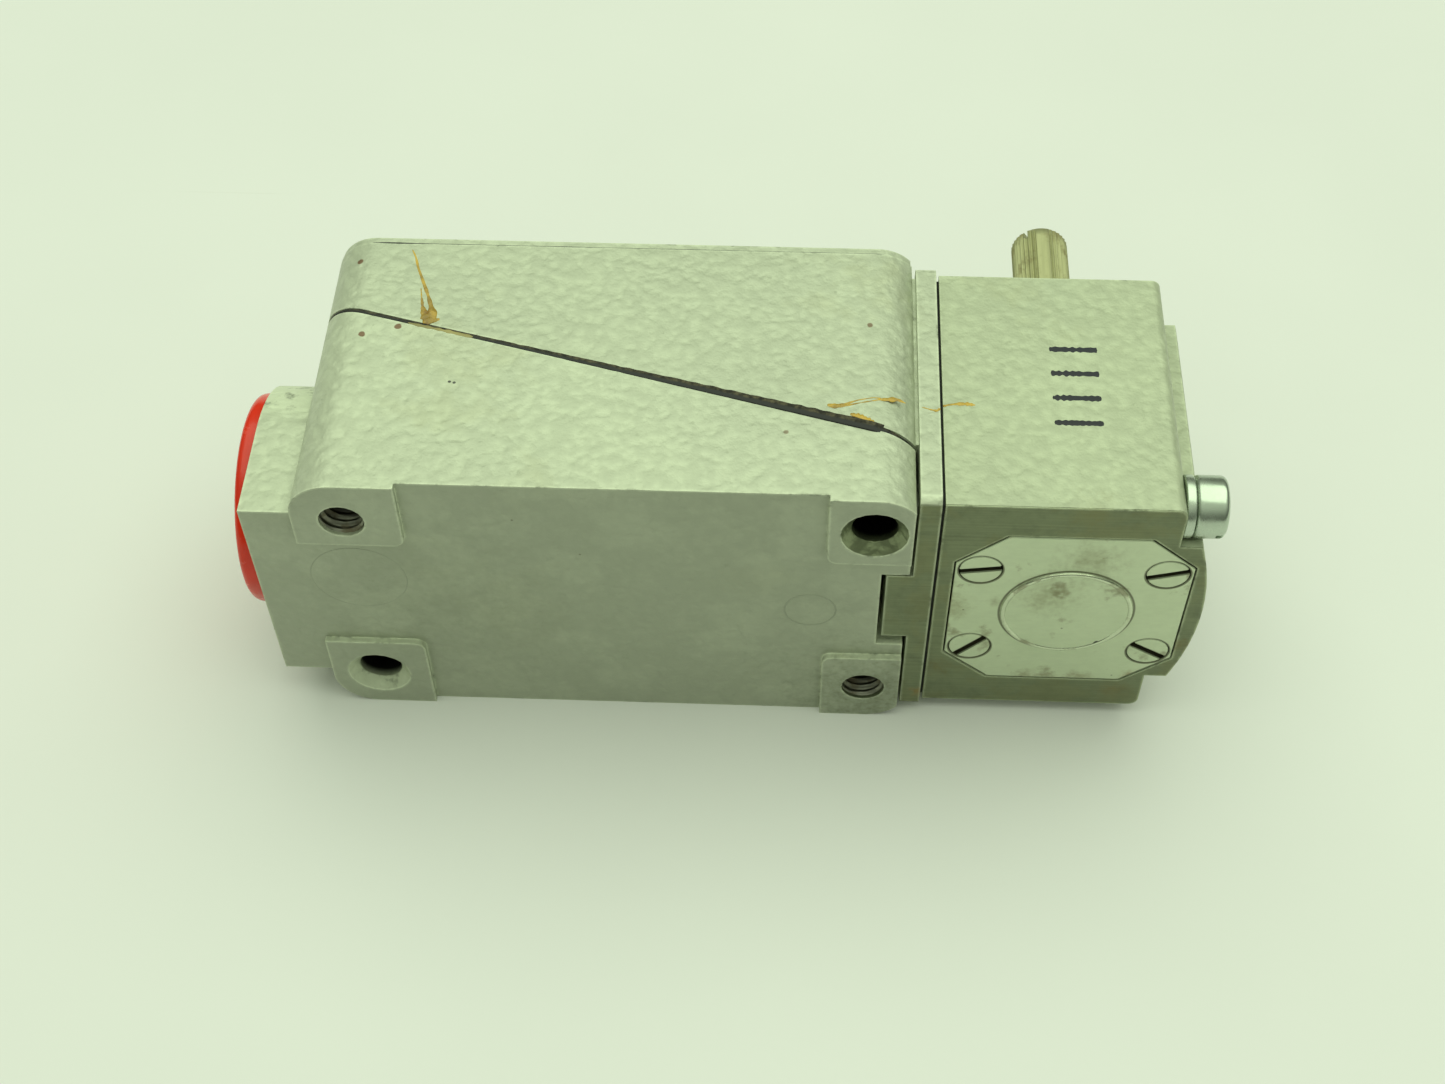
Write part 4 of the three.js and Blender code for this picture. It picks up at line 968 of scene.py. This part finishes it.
class LIMITSWITCH_OT_plug(bpy.types.Operator):
    """Make the glossy plastic plug in the conduit entry"""

    bl_idname = "limitswitch.plug"
    bl_label = "Conduit plug"

    def execute(self, context):
        s = context.scene.switch_plug
        low, high, centre = middle_of("conduit_thread_plug")
        radius = (high.y - low.y) / 2 / MM
        outer = (low.x - centre.x) / MM
        seat = (BASE_LOW.x - centre.x) / MM - 0.05
        end = (high.x - centre.x) / MM
        dish, lip = s.dish / MM, s.lip / MM
        thread, tip, bore, web = 9.45, 9.0, 7.6, 1.05
        profile = rounded(
            [
                (outer + dish, 0.0),
                (outer + dish, radius - 3.4),
                (outer, radius - 2.6),
                (outer, radius),
                (seat, radius),
                (seat, thread),
                (end, tip),
                (end, bore),
                (seat + web, bore),
                (seat + web, 0.0),
            ],
            lip, 9)
        piece = turned("red_thread_plug", profile, centre, "x", 112, 50.0)
        fit(piece, self.plastic(s), "red_plastic", "conduit_thread_plug")
        return {"FINISHED"}

    def plastic(self, s):
        """Red plastic, a little see-through at the rim, with scuffs that break its gloss."""
        made, g, shader = material("Red plug plastic")
        place = g.place()
        cloud = g.noise(place, 240.0, 3.0)
        base = g.shade(cloud, s.plastic, 0.94, 1.06)
        scuff = g.stains(330.0, 0.6)
        base = g.lay(base, scuff, 0.06, (0.9, 0.45, 0.3, 1.0))
        rough = g.ramp(scuff, 0.0, 1.0, 0.2, 0.38)
        dress(g, shader, base, rough, g.noise(place, 500.0, 2.0), 0.00003)
        shader.inputs["Subsurface Weight"].default_value = 0.12
        shader.inputs["Specular IOR Level"].default_value = 0.4
        shader.inputs["Subsurface Radius"].default_value = (0.003, 0.0008, 0.0004)
        shader.inputs["Subsurface Scale"].default_value = 1.0
        return made


# --- gaskets


def body_rim(samples):
    """Points round the body's outline, in layout x and z, with the outward direction. The
    outline is a rectangle with rounded corners, walked at an even pace."""
    left, right = BODY_LEFT, BODY_RIGHT
    half, corner = BODY_TOP, BODY_CORNER
    turn = np.linspace(0, np.pi / 2, 24)
    centres = [
        (right - corner, half - corner, 0.0),
        (left + corner, half - corner, np.pi / 2),
        (left + corner, -half + corner, np.pi),
        (right - corner, -half + corner, 1.5 * np.pi),
    ]
    x = np.concatenate([cx + corner * np.cos(turn + a) for cx, _, a in centres])
    z = np.concatenate([cz + corner * np.sin(turn + a) for _, cz, a in centres])
    x, z = np.append(x, x[0]), np.append(z, z[0])
    walked = np.concatenate([[0], np.cumsum(np.hypot(np.diff(x), np.diff(z)))])
    even = np.linspace(0, walked[-1], samples, endpoint=False)
    x, z = np.interp(even, walked, x), np.interp(even, walked, z)
    dx, dz = np.roll(x, -1) - np.roll(x, 1), np.roll(z, -1) - np.roll(z, 1)
    size = np.hypot(dx, dz)
    return x, z, dz / size, -dx / size, even / walked[-1]


class LIMITSWITCH_OT_gaskets(bpy.types.Operator):
    """Make the ragged rubber bead of the sloping joint"""

    bl_idname = "limitswitch.gaskets"
    bl_label = "Gaskets"

    def execute(self, context):
        s = context.scene.switch_gaskets
        x, z, out_x, out_z, way = body_rim(1400)
        slope = math.hypot(1.0, SEAM_SLOPE)
        normal = (-SEAM_SLOPE / slope, 1 / slope)
        share = np.clip((x - BODY_LEFT) / (BODY_RIGHT - BODY_LEFT), 0, 1)
        half = (s.narrow + (s.wide - s.narrow) * share) / MM
        middle = -0.78  # the bead's middle, below the castings' sides
        ragged = share * (0.12 * wander(way, 3, waves=11, low=30, high=170) + 0.16)
        swell = 0.03 * wander(way, 5, waves=11, low=10, high=160)
        reach = -middle - 0.05 + 0.26 * share + swell
        angle = circle(16)
        tall = squared(np.sin(angle), 0.3)
        across = reach[:, None] * squared(np.cos(angle), 0.3)
        lift = half[:, None] * tall + ragged[:, None] * np.clip(tall, 0, 1)
        grid = np.stack([
            x[:, None] + out_x[:, None] * (middle + across) + normal[0] * lift,
            SEAM_Y + SEAM_SLOPE * x[:, None] + SEAM_GAP / 2 + normal[1] * lift,
            z[:, None] + out_z[:, None] * (middle + across)], -1)
        bead = surface("joint_bead", placed(grid), True)
        fit(bead, self.rubber(s), "black_rubber")
        return {"FINISHED"}

    def rubber(self, s):
        """Black rubber with a brown-grey crust of dirt towards its upper side."""
        made, g, shader = material("Joint bead rubber")
        place = g.place()
        parts = g.split(place)
        start = at(0, SEAM_Y + SEAM_GAP / 2, 0)
        slant = g.times(g.minus(parts["X"], start.x), SEAM_SLOPE)
        lift = g.minus(g.minus(parts["Y"], start.y), slant)
        ragged = g.times(g.noise(place, 900.0, 4.0), 0.0005)
        upper = g.ramp(g.plus(lift, ragged), 0.0001, 0.0005)
        crust = g.mix(
            g.ramp(g.noise(place, 1500.0, 4.0), 0.35, 0.7),
            (0.018, 0.016, 0.01, 1.0), (0.11, 0.095, 0.055, 1.0))
        base = g.mix(upper, rgba(s.rubber), crust)
        rough = g.ramp(upper, 0.0, 1.0, 0.6, 0.85)
        dress(g, shader, base, rough, g.noise(place, 1100.0, 4.0), 0.00006)
        return made


# --- screws and plate


def slotted_screw(node, axis, slot, angle, name="slotted", head=1.0, radius=1.0, ease_by=0.3,
                  dome=0.0, sign=-1):
    """A turned screw with a rounded head and a straight slot. The profile runs from the middle
    of the head's face out to its edge, down its side, in to the shank and on to the tip.
    sign is -1 where the head faces down the axis."""
    low, high, centre = middle_of(node)
    axis_index = "xyz".index(axis)
    face = (low if sign < 0 else high)[axis_index] - centre[axis_index]
    tip = (high if sign < 0 else low)[axis_index] - centre[axis_index]
    face, tip = face / MM, tip / MM
    shank = radius * 0.56
    shoulder = face - sign * head
    profile = rounded(
        [
            (face, 0.0),
            (face - sign * dome * 0.3, radius * 0.6),
            (face - sign * dome, radius),
            (shoulder, radius),
            (shoulder, shank),
            (tip + sign * 0.4, shank),
            (tip, shank - 0.4),
            (tip, 0.0),
        ],
        ease_by, 6)
    name = f"{name}_{node}"
    piece = turned(name, profile, centre, axis, 56)
    width, depth = slot
    middle = centre.copy()
    middle[axis_index] += face * MM
    size = [width, width, width]
    size[axis_index] = depth * 2
    size["xyz".index("z")] = 3 * radius * MM
    turn = math.pi / 2 + angle
    cut(piece, bar(name + "_cutter", middle, size, axis, turn))
    return piece


class LIMITSWITCH_OT_cover_plate(bpy.types.Operator):
    """Make the octagonal cover plate and its four slotted screws"""

    bl_idname = "limitswitch.cover_plate"
    bl_label = "Cover plate"

    def execute(self, context):
        s = context.scene.switch_hardware
        plate = eased_copy("cover_plate", "octagon_plate", 0.00014)
        fit(plate, finish_of("zinc_plate"), "zinc_plate", "cover_plate")
        rim = plated(
            "Polished rim", (0.62, 0.68, 0.50), 0.15, 0.26, (900.0, 900.0, 900.0),
            grime=0.5, level=0.5, lined=0.2)
        edge = torus(
            "disc_rim", SHAFT_X, DISC_Y + 0.04, 0.0, DISC_R - DISC_TUBE, DISC_TUBE, flat=0.7,
            segments=128, sides=12)
        fit(edge, rim, "zinc_plate")
        # Painted shade: the screws turn near black deeper than 1.6 mm.
        screw = plated(
            "Plate screw", s.plate, 0.3, 0.46, (900.0, 900.0, 900.0), grime=0.45,
            level=0.52, lined=0.3, metallic=0.55, shade_from=1.6)
        for index, angle in enumerate([-0.17, -0.30, -0.83, 0.57], 1):
            node = f"plate_screw_{index}"
            piece = slotted_screw(
                node, "y", (s.slot_width, s.slot_depth), angle, head=1.1,
                radius=PLATE_SCREW_R, ease_by=0.22)
            fit(piece, screw, "zinc_screw", node)
        return {"FINISHED"}


class LIMITSWITCH_OT_head_screws(bpy.types.Operator):
    """Make the head screws, their spring washers and the two screws of the switch body"""

    bl_idname = "limitswitch.head_screws"
    bl_label = "Head and body screws"

    def execute(self, context):
        steel = finish_of("zinc_screw")
        for index, angle in ((1, 0.336), (2, 0.9)):
            node = f"head_screw_{index}"
            piece = slotted_screw(
                node, "x", (0.0009, 0.0014), angle, name="fillister", head=3.9, radius=3.55,
                ease_by=0.8, dome=0.35, sign=1)
            fit(piece, steel, "zinc_screw", node)
            fit(self.spring_washer(index), steel, "zinc_screw", f"head_screw_washer_{index}")
            node = f"captive_screw_{index}"
            piece = slotted_screw(
                node, "y", (0.0008, 0.0011), angle, head=2.4, radius=3.0, ease_by=0.35, sign=1)
            fit(piece, steel, "zinc_screw", node)
        return {"FINISHED"}

    def spring_washer(self, index):
        """A split washer: a rounded square section carried round the screw from one side of
        a narrow gap to the other, its two ends closed by shrinking the section to a point."""
        low, high, centre = middle_of(f"head_screw_washer_{index}")
        thick = (high.x - low.x) / 2
        outer = (high.y - low.y) / 2 - 0.00005
        inner = 0.0021
        gap = 0.16
        turn = np.linspace(gap, 2 * np.pi - gap, 70)[:, None]
        corner = circle(24)[None]
        wide, tall = squared(np.cos(corner), 0.28), squared(np.sin(corner), 0.28)
        swell = np.ones((70, 1))
        swell[[0, -1]] = 0.0
        turn[[0, -1]] = turn[[1, -2]]
        radius = (outer + inner) / 2 + swell * wide * (outer - inner) / 2
        grid = np.stack([
            centre.x + swell * tall * thick * 0.96,
            centre.y + radius * np.cos(turn - 0.9),
            centre.z + radius * np.sin(turn - 0.9)], -1)
        return surface(f"spring_washer_{index}", grid)


# --- shaft


class LIMITSWITCH_OT_shaft(bpy.types.Operator):
    """Make the shaft with its fine teeth, plain band and kerf"""

    bl_idname = "limitswitch.shaft"
    bl_label = "Shaft"

    def execute(self, context):
        s = context.scene.switch_shaft
        low, high, centre = middle_of("shaft")
        radius = (high.z - low.z) / 2
        tip, start = high.y, at(0, SPLINE_START, 0).y
        chamfer, runout = 0.0006, 0.0012
        band, blend = 0.24, 0.05
        kerf_across, kerf_deep, kerf_angle = 0.014, 0.0032, 0.9
        y = np.concatenate([
            [low.y, low.y, start],
            np.linspace(start, start + runout, 5)[1:],
            np.linspace(start + runout, tip - chamfer, 14)[1:],
            np.linspace(tip - chamfer, tip, 4)[1:],
            [tip]])
        columns = s.teeth * 10
        a = circle(columns)
        tooth = 0.5 - 0.5 * np.cos(a * s.teeth)
        plain = np.clip((np.abs(a - np.pi / 2) - band) / blend, 0, 1)
        depth = s.tooth * np.clip((y - start) / runout, 0, 1)[:, None]
        groove = depth * (tooth ** 0.8 * plain)[None]
        r = radius - groove
        edge = np.clip((y - (tip - chamfer)) / chamfer, 0, 1)[:, None]
        r = np.minimum(r, radius - edge * chamfer)
        r[0] = 0
        r[-1] = 0
        grid = about_y(centre.x, centre.z, r, y[:, None], a)
        piece = surface("splined_shaft", grid, sharp=50.0)
        middle = Vector((centre.x, tip, centre.z))
        kerf = bar("kerf", middle, (kerf_across, kerf_deep, s.kerf), "y", kerf_angle)
        cut(piece, kerf, 50.0)
        metal = plated(
            "Shaft steel", s.metal, 0.36, 0.5, (2600.0, 90.0, 2600.0), grime=0.5,
            level=0.5, metallic=0.6)
        fit(piece, metal, "shaft_steel", "shaft")
        return {"FINISHED"}


# --- inner parts


class LIMITSWITCH_OT_inner_parts(bpy.types.Operator):
    """Finish the parts that keep their mechanical shape"""

    bl_idname = "limitswitch.inner_parts"
    bl_label = "Inner parts"

    def execute(self, context):
        slots = {
            part["node"]: part["material_slot"] for part in frame["record"]["subparts"]}
        for name, node in frame["nodes"].items():
            if node.hide_render:
                continue
            node.data.materials.clear()
            node.data.materials.append(finish_of(slots[name]))
        return {"FINISHED"}


# --- marks


def run(name, points, top, height, seed):
    """A run of dried glue along a line of (x, y, half width) points on a face at height top:
    an oval section carried along the line, as wide as the line says and crowned by height,
    sinking half into the face, its ends drawn to a point."""
    points = np.asarray(points, float)
    step = np.concatenate([[0], np.cumsum(np.hypot(*np.diff(points[:, :2], axis=0).T))])
    t = np.linspace(0, step[-1], 60)
    x, y, wide = (np.interp(t, step, points[:, i]) for i in range(3))
    kernel = np.ones(5) / 5
    x[2:-2], y[2:-2], wide[2:-2] = (
        np.convolve(v, kernel, "valid") for v in (x, y, wide))
    share = t / step[-1]
    wide = wide * (1 + 0.22 * wander(share, seed, 5, 1, 9))
    wide[[0, -1]] = 0
    dx, dy = np.gradient(x), np.gradient(y)
    size = np.hypot(dx, dy)
    side = np.stack([-dy / size, dx / size], -1)
    angle = circle(16)
    crown = height * np.clip(wide / wide.max(), 0.25, 1)
    crown[[0, -1]] = 0
    grid = np.stack([
        x[:, None] + side[:, :1] * wide[:, None] * np.cos(angle),
        y[:, None] + side[:, 1:] * wide[:, None] * np.cos(angle),
        top + crown[:, None] * np.sin(angle)], -1)
    return surface(name, placed(grid), sharp=80.0)


class LIMITSWITCH_OT_marks(bpy.types.Operator):
    """Lay the runs of dried glue and the plain printed strokes"""

    bl_idname = "limitswitch.marks"
    bl_label = "Glue runs and strokes"

    STROKE_Y, STROKE_STEP = 13.8, 3.75
    STROKE = ((49.8, .34), (50.0, .4), (52.6, .37), (55.2, .4), (55.4, .34))
    RUNS = {
        "glue_run_1": (BODY_TOP, 0.12, [
            (-25.95, 37.0, .06), (-25.33, 35.71, .15), (-24.87, 34.04, .14),
            (-23.96, 31.73, .17), (-23.07, 29.45, .18), (-22.49, 27.68, .3),
            (-22.1, 26.2, .6), (-22.0, 24.9, .5)]),
        "glue_run_2": (BODY_TOP, 0.12, [
            (-24.05, 30.57, .06), (-23.75, 28.94, .1), (-23.45, 27.49, .2),
            (-23.1, 26.5, .5), (-22.6, 25.6, .75), (-22.0, 24.9, .4)]),
        "glue_run_3": (BODY_TOP, 0.10, [
            (-23.5, 25.75, .15), (-22.6, 25.6, .38), (-21.9, 25.4, .4), (-21.2, 25.6, .15)]),
        "glue_run_4": (BODY_TOP, 0.10, [
            (24.1, 13.85, .15), (25.0, 13.65, .42), (25.8, 13.85, .2), (27.58, 14.66, .07),
            (29.38, 15.1, .07), (30.2, 14.95, .1)]),
        "glue_run_5": (BODY_TOP, 0.10, [
            (24.6, 13.6, .1), (25.8, 13.65, .15), (27.8, 14.25, .07), (30.06, 14.82, .1),
            (31.2, 14.85, .36), (32.1, 14.85, .2), (33.0, 14.3, .05)]),
        "glue_run_6": (BODY_TOP, 0.12, [
            (26.7, 12.55, .15), (27.6, 12.3, .35), (28.4, 11.9, .38), (29.3, 11.3, .3),
            (29.7, 11.0, .1)]),
        "glue_run_7": (FLANGE_TOP, 0.08, [
            (34.8, 14.65, .05), (35.73, 14.31, .09), (36.5, 14.11, .16), (36.9, 14.5, .14)]),
        "glue_run_8": (HEAD_TOP, 0.08, [
            (37.3, 15.8, .2), (38.0, 16.05, .1), (38.9, 16.2, .2), (40.0, 16.25, .28),
            (41.0, 16.1, .1)]),
    }

    def execute(self, context):
        s = context.scene.switch_marks
        glue = self.glue(s)
        for index, (name, (top, height, points)) in enumerate(self.RUNS.items()):
            fit(run(name, points, top, height, index), glue, "hammered_paint")
        strip = run("seam_glue", [
            (-24.9, 24.95, .06), (-24.2, 24.72, .16), (-23.0, 24.42, .22), (-21.6, 24.08, .2),
            (-20.0, 23.68, .24), (-18.6, 23.3, .2), (-17.4, 23.0, .26), (-16.7, 22.85, .08)],
            BODY_TOP, 0.06, 21)
        fit(strip, moulded("Cream glue", (0.42, 0.36, 0.14), 0.5, 0.00003, 0.35),
            "hammered_paint")
        nicks = run("cover_seam", [
            (-31.0, 38.02, .05), (-28.0, 38.0, .12), (-24.0, 38.0, .05), (-20.0, 38.0, .1),
            (-18.0, 38.0, .05), (-5.0, 38.0, .07), (0.0, 38.0, .04), (10.0, 38.0, .06),
            (28.0, 38.0, .04), (31.0, 38.02, .03)],
            BODY_TOP - 0.01, 0.02, 27)
        fit(nicks, moulded("Dark seam", (0.03, 0.03, 0.035), 0.7, 0.00003, 0.5),
            "hammered_paint")
        ink = moulded("Printing ink", s.ink, 0.5, 0.000008, 0.3)
        for index in range(4):
            y = self.STROKE_Y + index * self.STROKE_STEP
            line = [(x, y, half) for x, half in self.STROKE]
            stroke = run(f"printed_stroke_{index + 1}", line, HEAD_TOP, 0.025, 40 + index)
            fit(stroke, ink, "hammered_paint")
        return {"FINISHED"}

    def glue(self, s):
        """Amber glue: glossy, with a cloudy tone and brown stains."""
        made, g, shader = material("Dried amber glue")
        place = g.place()
        cloud = g.noise(place, 500.0, 4.0)
        base = g.mix(g.ramp(cloud, 0.32, 0.68), rgba(s.glue, 0.5), rgba(s.glue, 1.25))
        brown = g.stains(700.0, 0.55)
        base = g.lay(base, brown, 0.5, (0.14, 0.05, 0.015, 1.0))
        rough = g.ramp(cloud, 0.3, 0.7, 0.22, 0.36)
        dress(g, shader, base, rough, g.noise(place, 900.0, 3.0), 0.00002)
        return made


# --- stage


class LIMITSWITCH_OT_stage(bpy.types.Operator):
    """Lay the floor, hang the lamps and set the camera"""

    bl_idname = "limitswitch.stage"
    bl_label = "Stage"

    CAMERA_AT = (20.221, -138.162, 193.779)
    CAMERA_RIGHT = (0.9991, 0.04155, -0.00908)
    CAMERA_DOWN = (0.02745, -0.79312, -0.60845)

    def execute(self, context):
        s = context.scene.switch_stage
        self.floor(s)
        self.lamps(s, context.scene)
        self.camera(s, context.scene)
        context.scene.view_settings.view_transform = "Standard"
        return {"FINISHED"}

    def floor(self, s):
        """A flat sheet: x and y run over a square, and z stays at the object's lowest point."""
        reach = np.linspace(-3.0, 3.0, 13)
        x, y = np.meshgrid(reach, reach)
        grid = np.stack([x, y, np.full_like(x, cad_box[0][2])], -1)
        index = np.arange(x.size).reshape(x.shape)
        piece = object_from("floor", woven("floor", grid, index.T))
        made, g, shader = material("Pale floor")
        place = g.place()
        cloud = g.noise(place, 14.0, 3.0)
        base = g.shade(cloud, s.floor, 0.985, 1.01)
        dots = g.group("specks", spacing=0.024, size=0.0004)["Mask"]
        base = g.lay(base, dots, 0.6, (0.2, 0.19, 0.13, 1.0))
        long_ = g.group("brushed", stretch=(9.0, 520.0, 1.0))["Height"]
        base = g.mix(g.ramp(long_, 0.70, 0.78, 0.0, 0.12), base, (0.5, 0.5, 0.44, 1.0))
        dress(g, shader, base, g.ramp(cloud, 0.3, 0.7, 0.5, 0.6))
        shader.inputs["Specular IOR Level"].default_value = 0.25
        piece.data.materials.append(made)

    def lamps(self, s, scene):
        """One broad lamp above and behind, in a room with a bright ceiling."""
        lamp = bpy.data.lights.new("overhead_lamp", "AREA")
        lamp.shape = "RECTANGLE"
        lamp.size, lamp.size_y = 2.2, 1.8
        lamp.energy = s.key
        lamp.color = s.tint
        key = bpy.data.objects.new("overhead_lamp", lamp)
        key.location = (0.05, 0.32, 1.35)
        aim = Vector((0, 0, 0)) - key.location
        key.rotation_euler = aim.to_track_quat("-Z", "Y").to_euler()
        scene.collection.objects.link(key)
        world = scene.world or bpy.data.worlds.new("Room")
        scene.world = world
        world.use_nodes = True
        g = Graph(world.node_tree)
        sky = world.node_tree.nodes["Background"]
        toward = g.add("TexCoord").outputs["Generated"]
        height = g.split(toward)["Z"]
        light = g.ramp(height, 0.15, 0.9, s.horizon, s.zenith)
        sky.inputs["Color"].default_value = rgba(s.tint)
        world.node_tree.links.new(light, sky.inputs["Strength"])

    def camera(self, s, scene):
        """A camera set by its place, its right and its down directions."""
        lens = bpy.data.cameras.new("camera")
        lens.sensor_width = 36.0
        lens.lens = s.focal
        lens.clip_start = 0.005
        eye = bpy.data.objects.new("camera", lens)
        right = Vector(self.CAMERA_RIGHT).normalized()
        up = -Vector(self.CAMERA_DOWN).normalized()
        back = right.cross(up).normalized()
        up = back.cross(right)
        turn = Matrix((right, up, back)).transposed().to_4x4()
        eye.matrix_world = Matrix.Translation(at(*self.CAMERA_AT)) @ turn
        scene.collection.objects.link(eye)
        scene.camera = eye


# --- panel and main


OPERATORS = (
    LIMITSWITCH_OT_castings,
    LIMITSWITCH_OT_threads,
    LIMITSWITCH_OT_plug,
    LIMITSWITCH_OT_gaskets,
    LIMITSWITCH_OT_cover_plate,
    LIMITSWITCH_OT_head_screws,
    LIMITSWITCH_OT_shaft,
    LIMITSWITCH_OT_inner_parts,
    LIMITSWITCH_OT_marks,
    LIMITSWITCH_OT_stage,
)


class LIMITSWITCH_PT_panel(bpy.types.Panel):
    """Lists the pieces of the switch and their sizes and colours"""

    bl_label = "Limit switch"
    bl_idname = "LIMITSWITCH_PT_panel"
    bl_space_type = "VIEW_3D"
    bl_region_type = "UI"
    bl_category = "Limit switch"

    def draw(self, context):
        for operator in OPERATORS:
            self.layout.operator(operator.bl_idname)
        for name, group in SETTINGS.items():
            box = self.layout.box()
            box.label(text=group.__doc__)
            for key in group.__annotations__:
                box.prop(getattr(context.scene, name), key)


def register():
    """Registers the classes and puts the settings on the scene."""
    for group in SETTINGS.values():
        bpy.utils.register_class(group)
    for operator in OPERATORS:
        bpy.utils.register_class(operator)
    bpy.utils.register_class(LIMITSWITCH_PT_panel)
    for name, group in SETTINGS.items():
        setattr(bpy.types.Scene, name, PointerProperty(type=group))


def unregister():
    """Takes the settings and the classes away again."""
    for name in SETTINGS:
        delattr(bpy.types.Scene, name)
    bpy.utils.unregister_class(LIMITSWITCH_PT_panel)
    for operator in reversed(OPERATORS):
        bpy.utils.unregister_class(operator)
    for group in reversed(list(SETTINGS.values())):
        bpy.utils.unregister_class(group)


def main():
    """Makes every piece in order."""
    register()
    for operator in OPERATORS:
        group, name = operator.bl_idname.split(".")
        getattr(getattr(bpy.ops, group), name)()


if __name__ == "__main__":
    main()
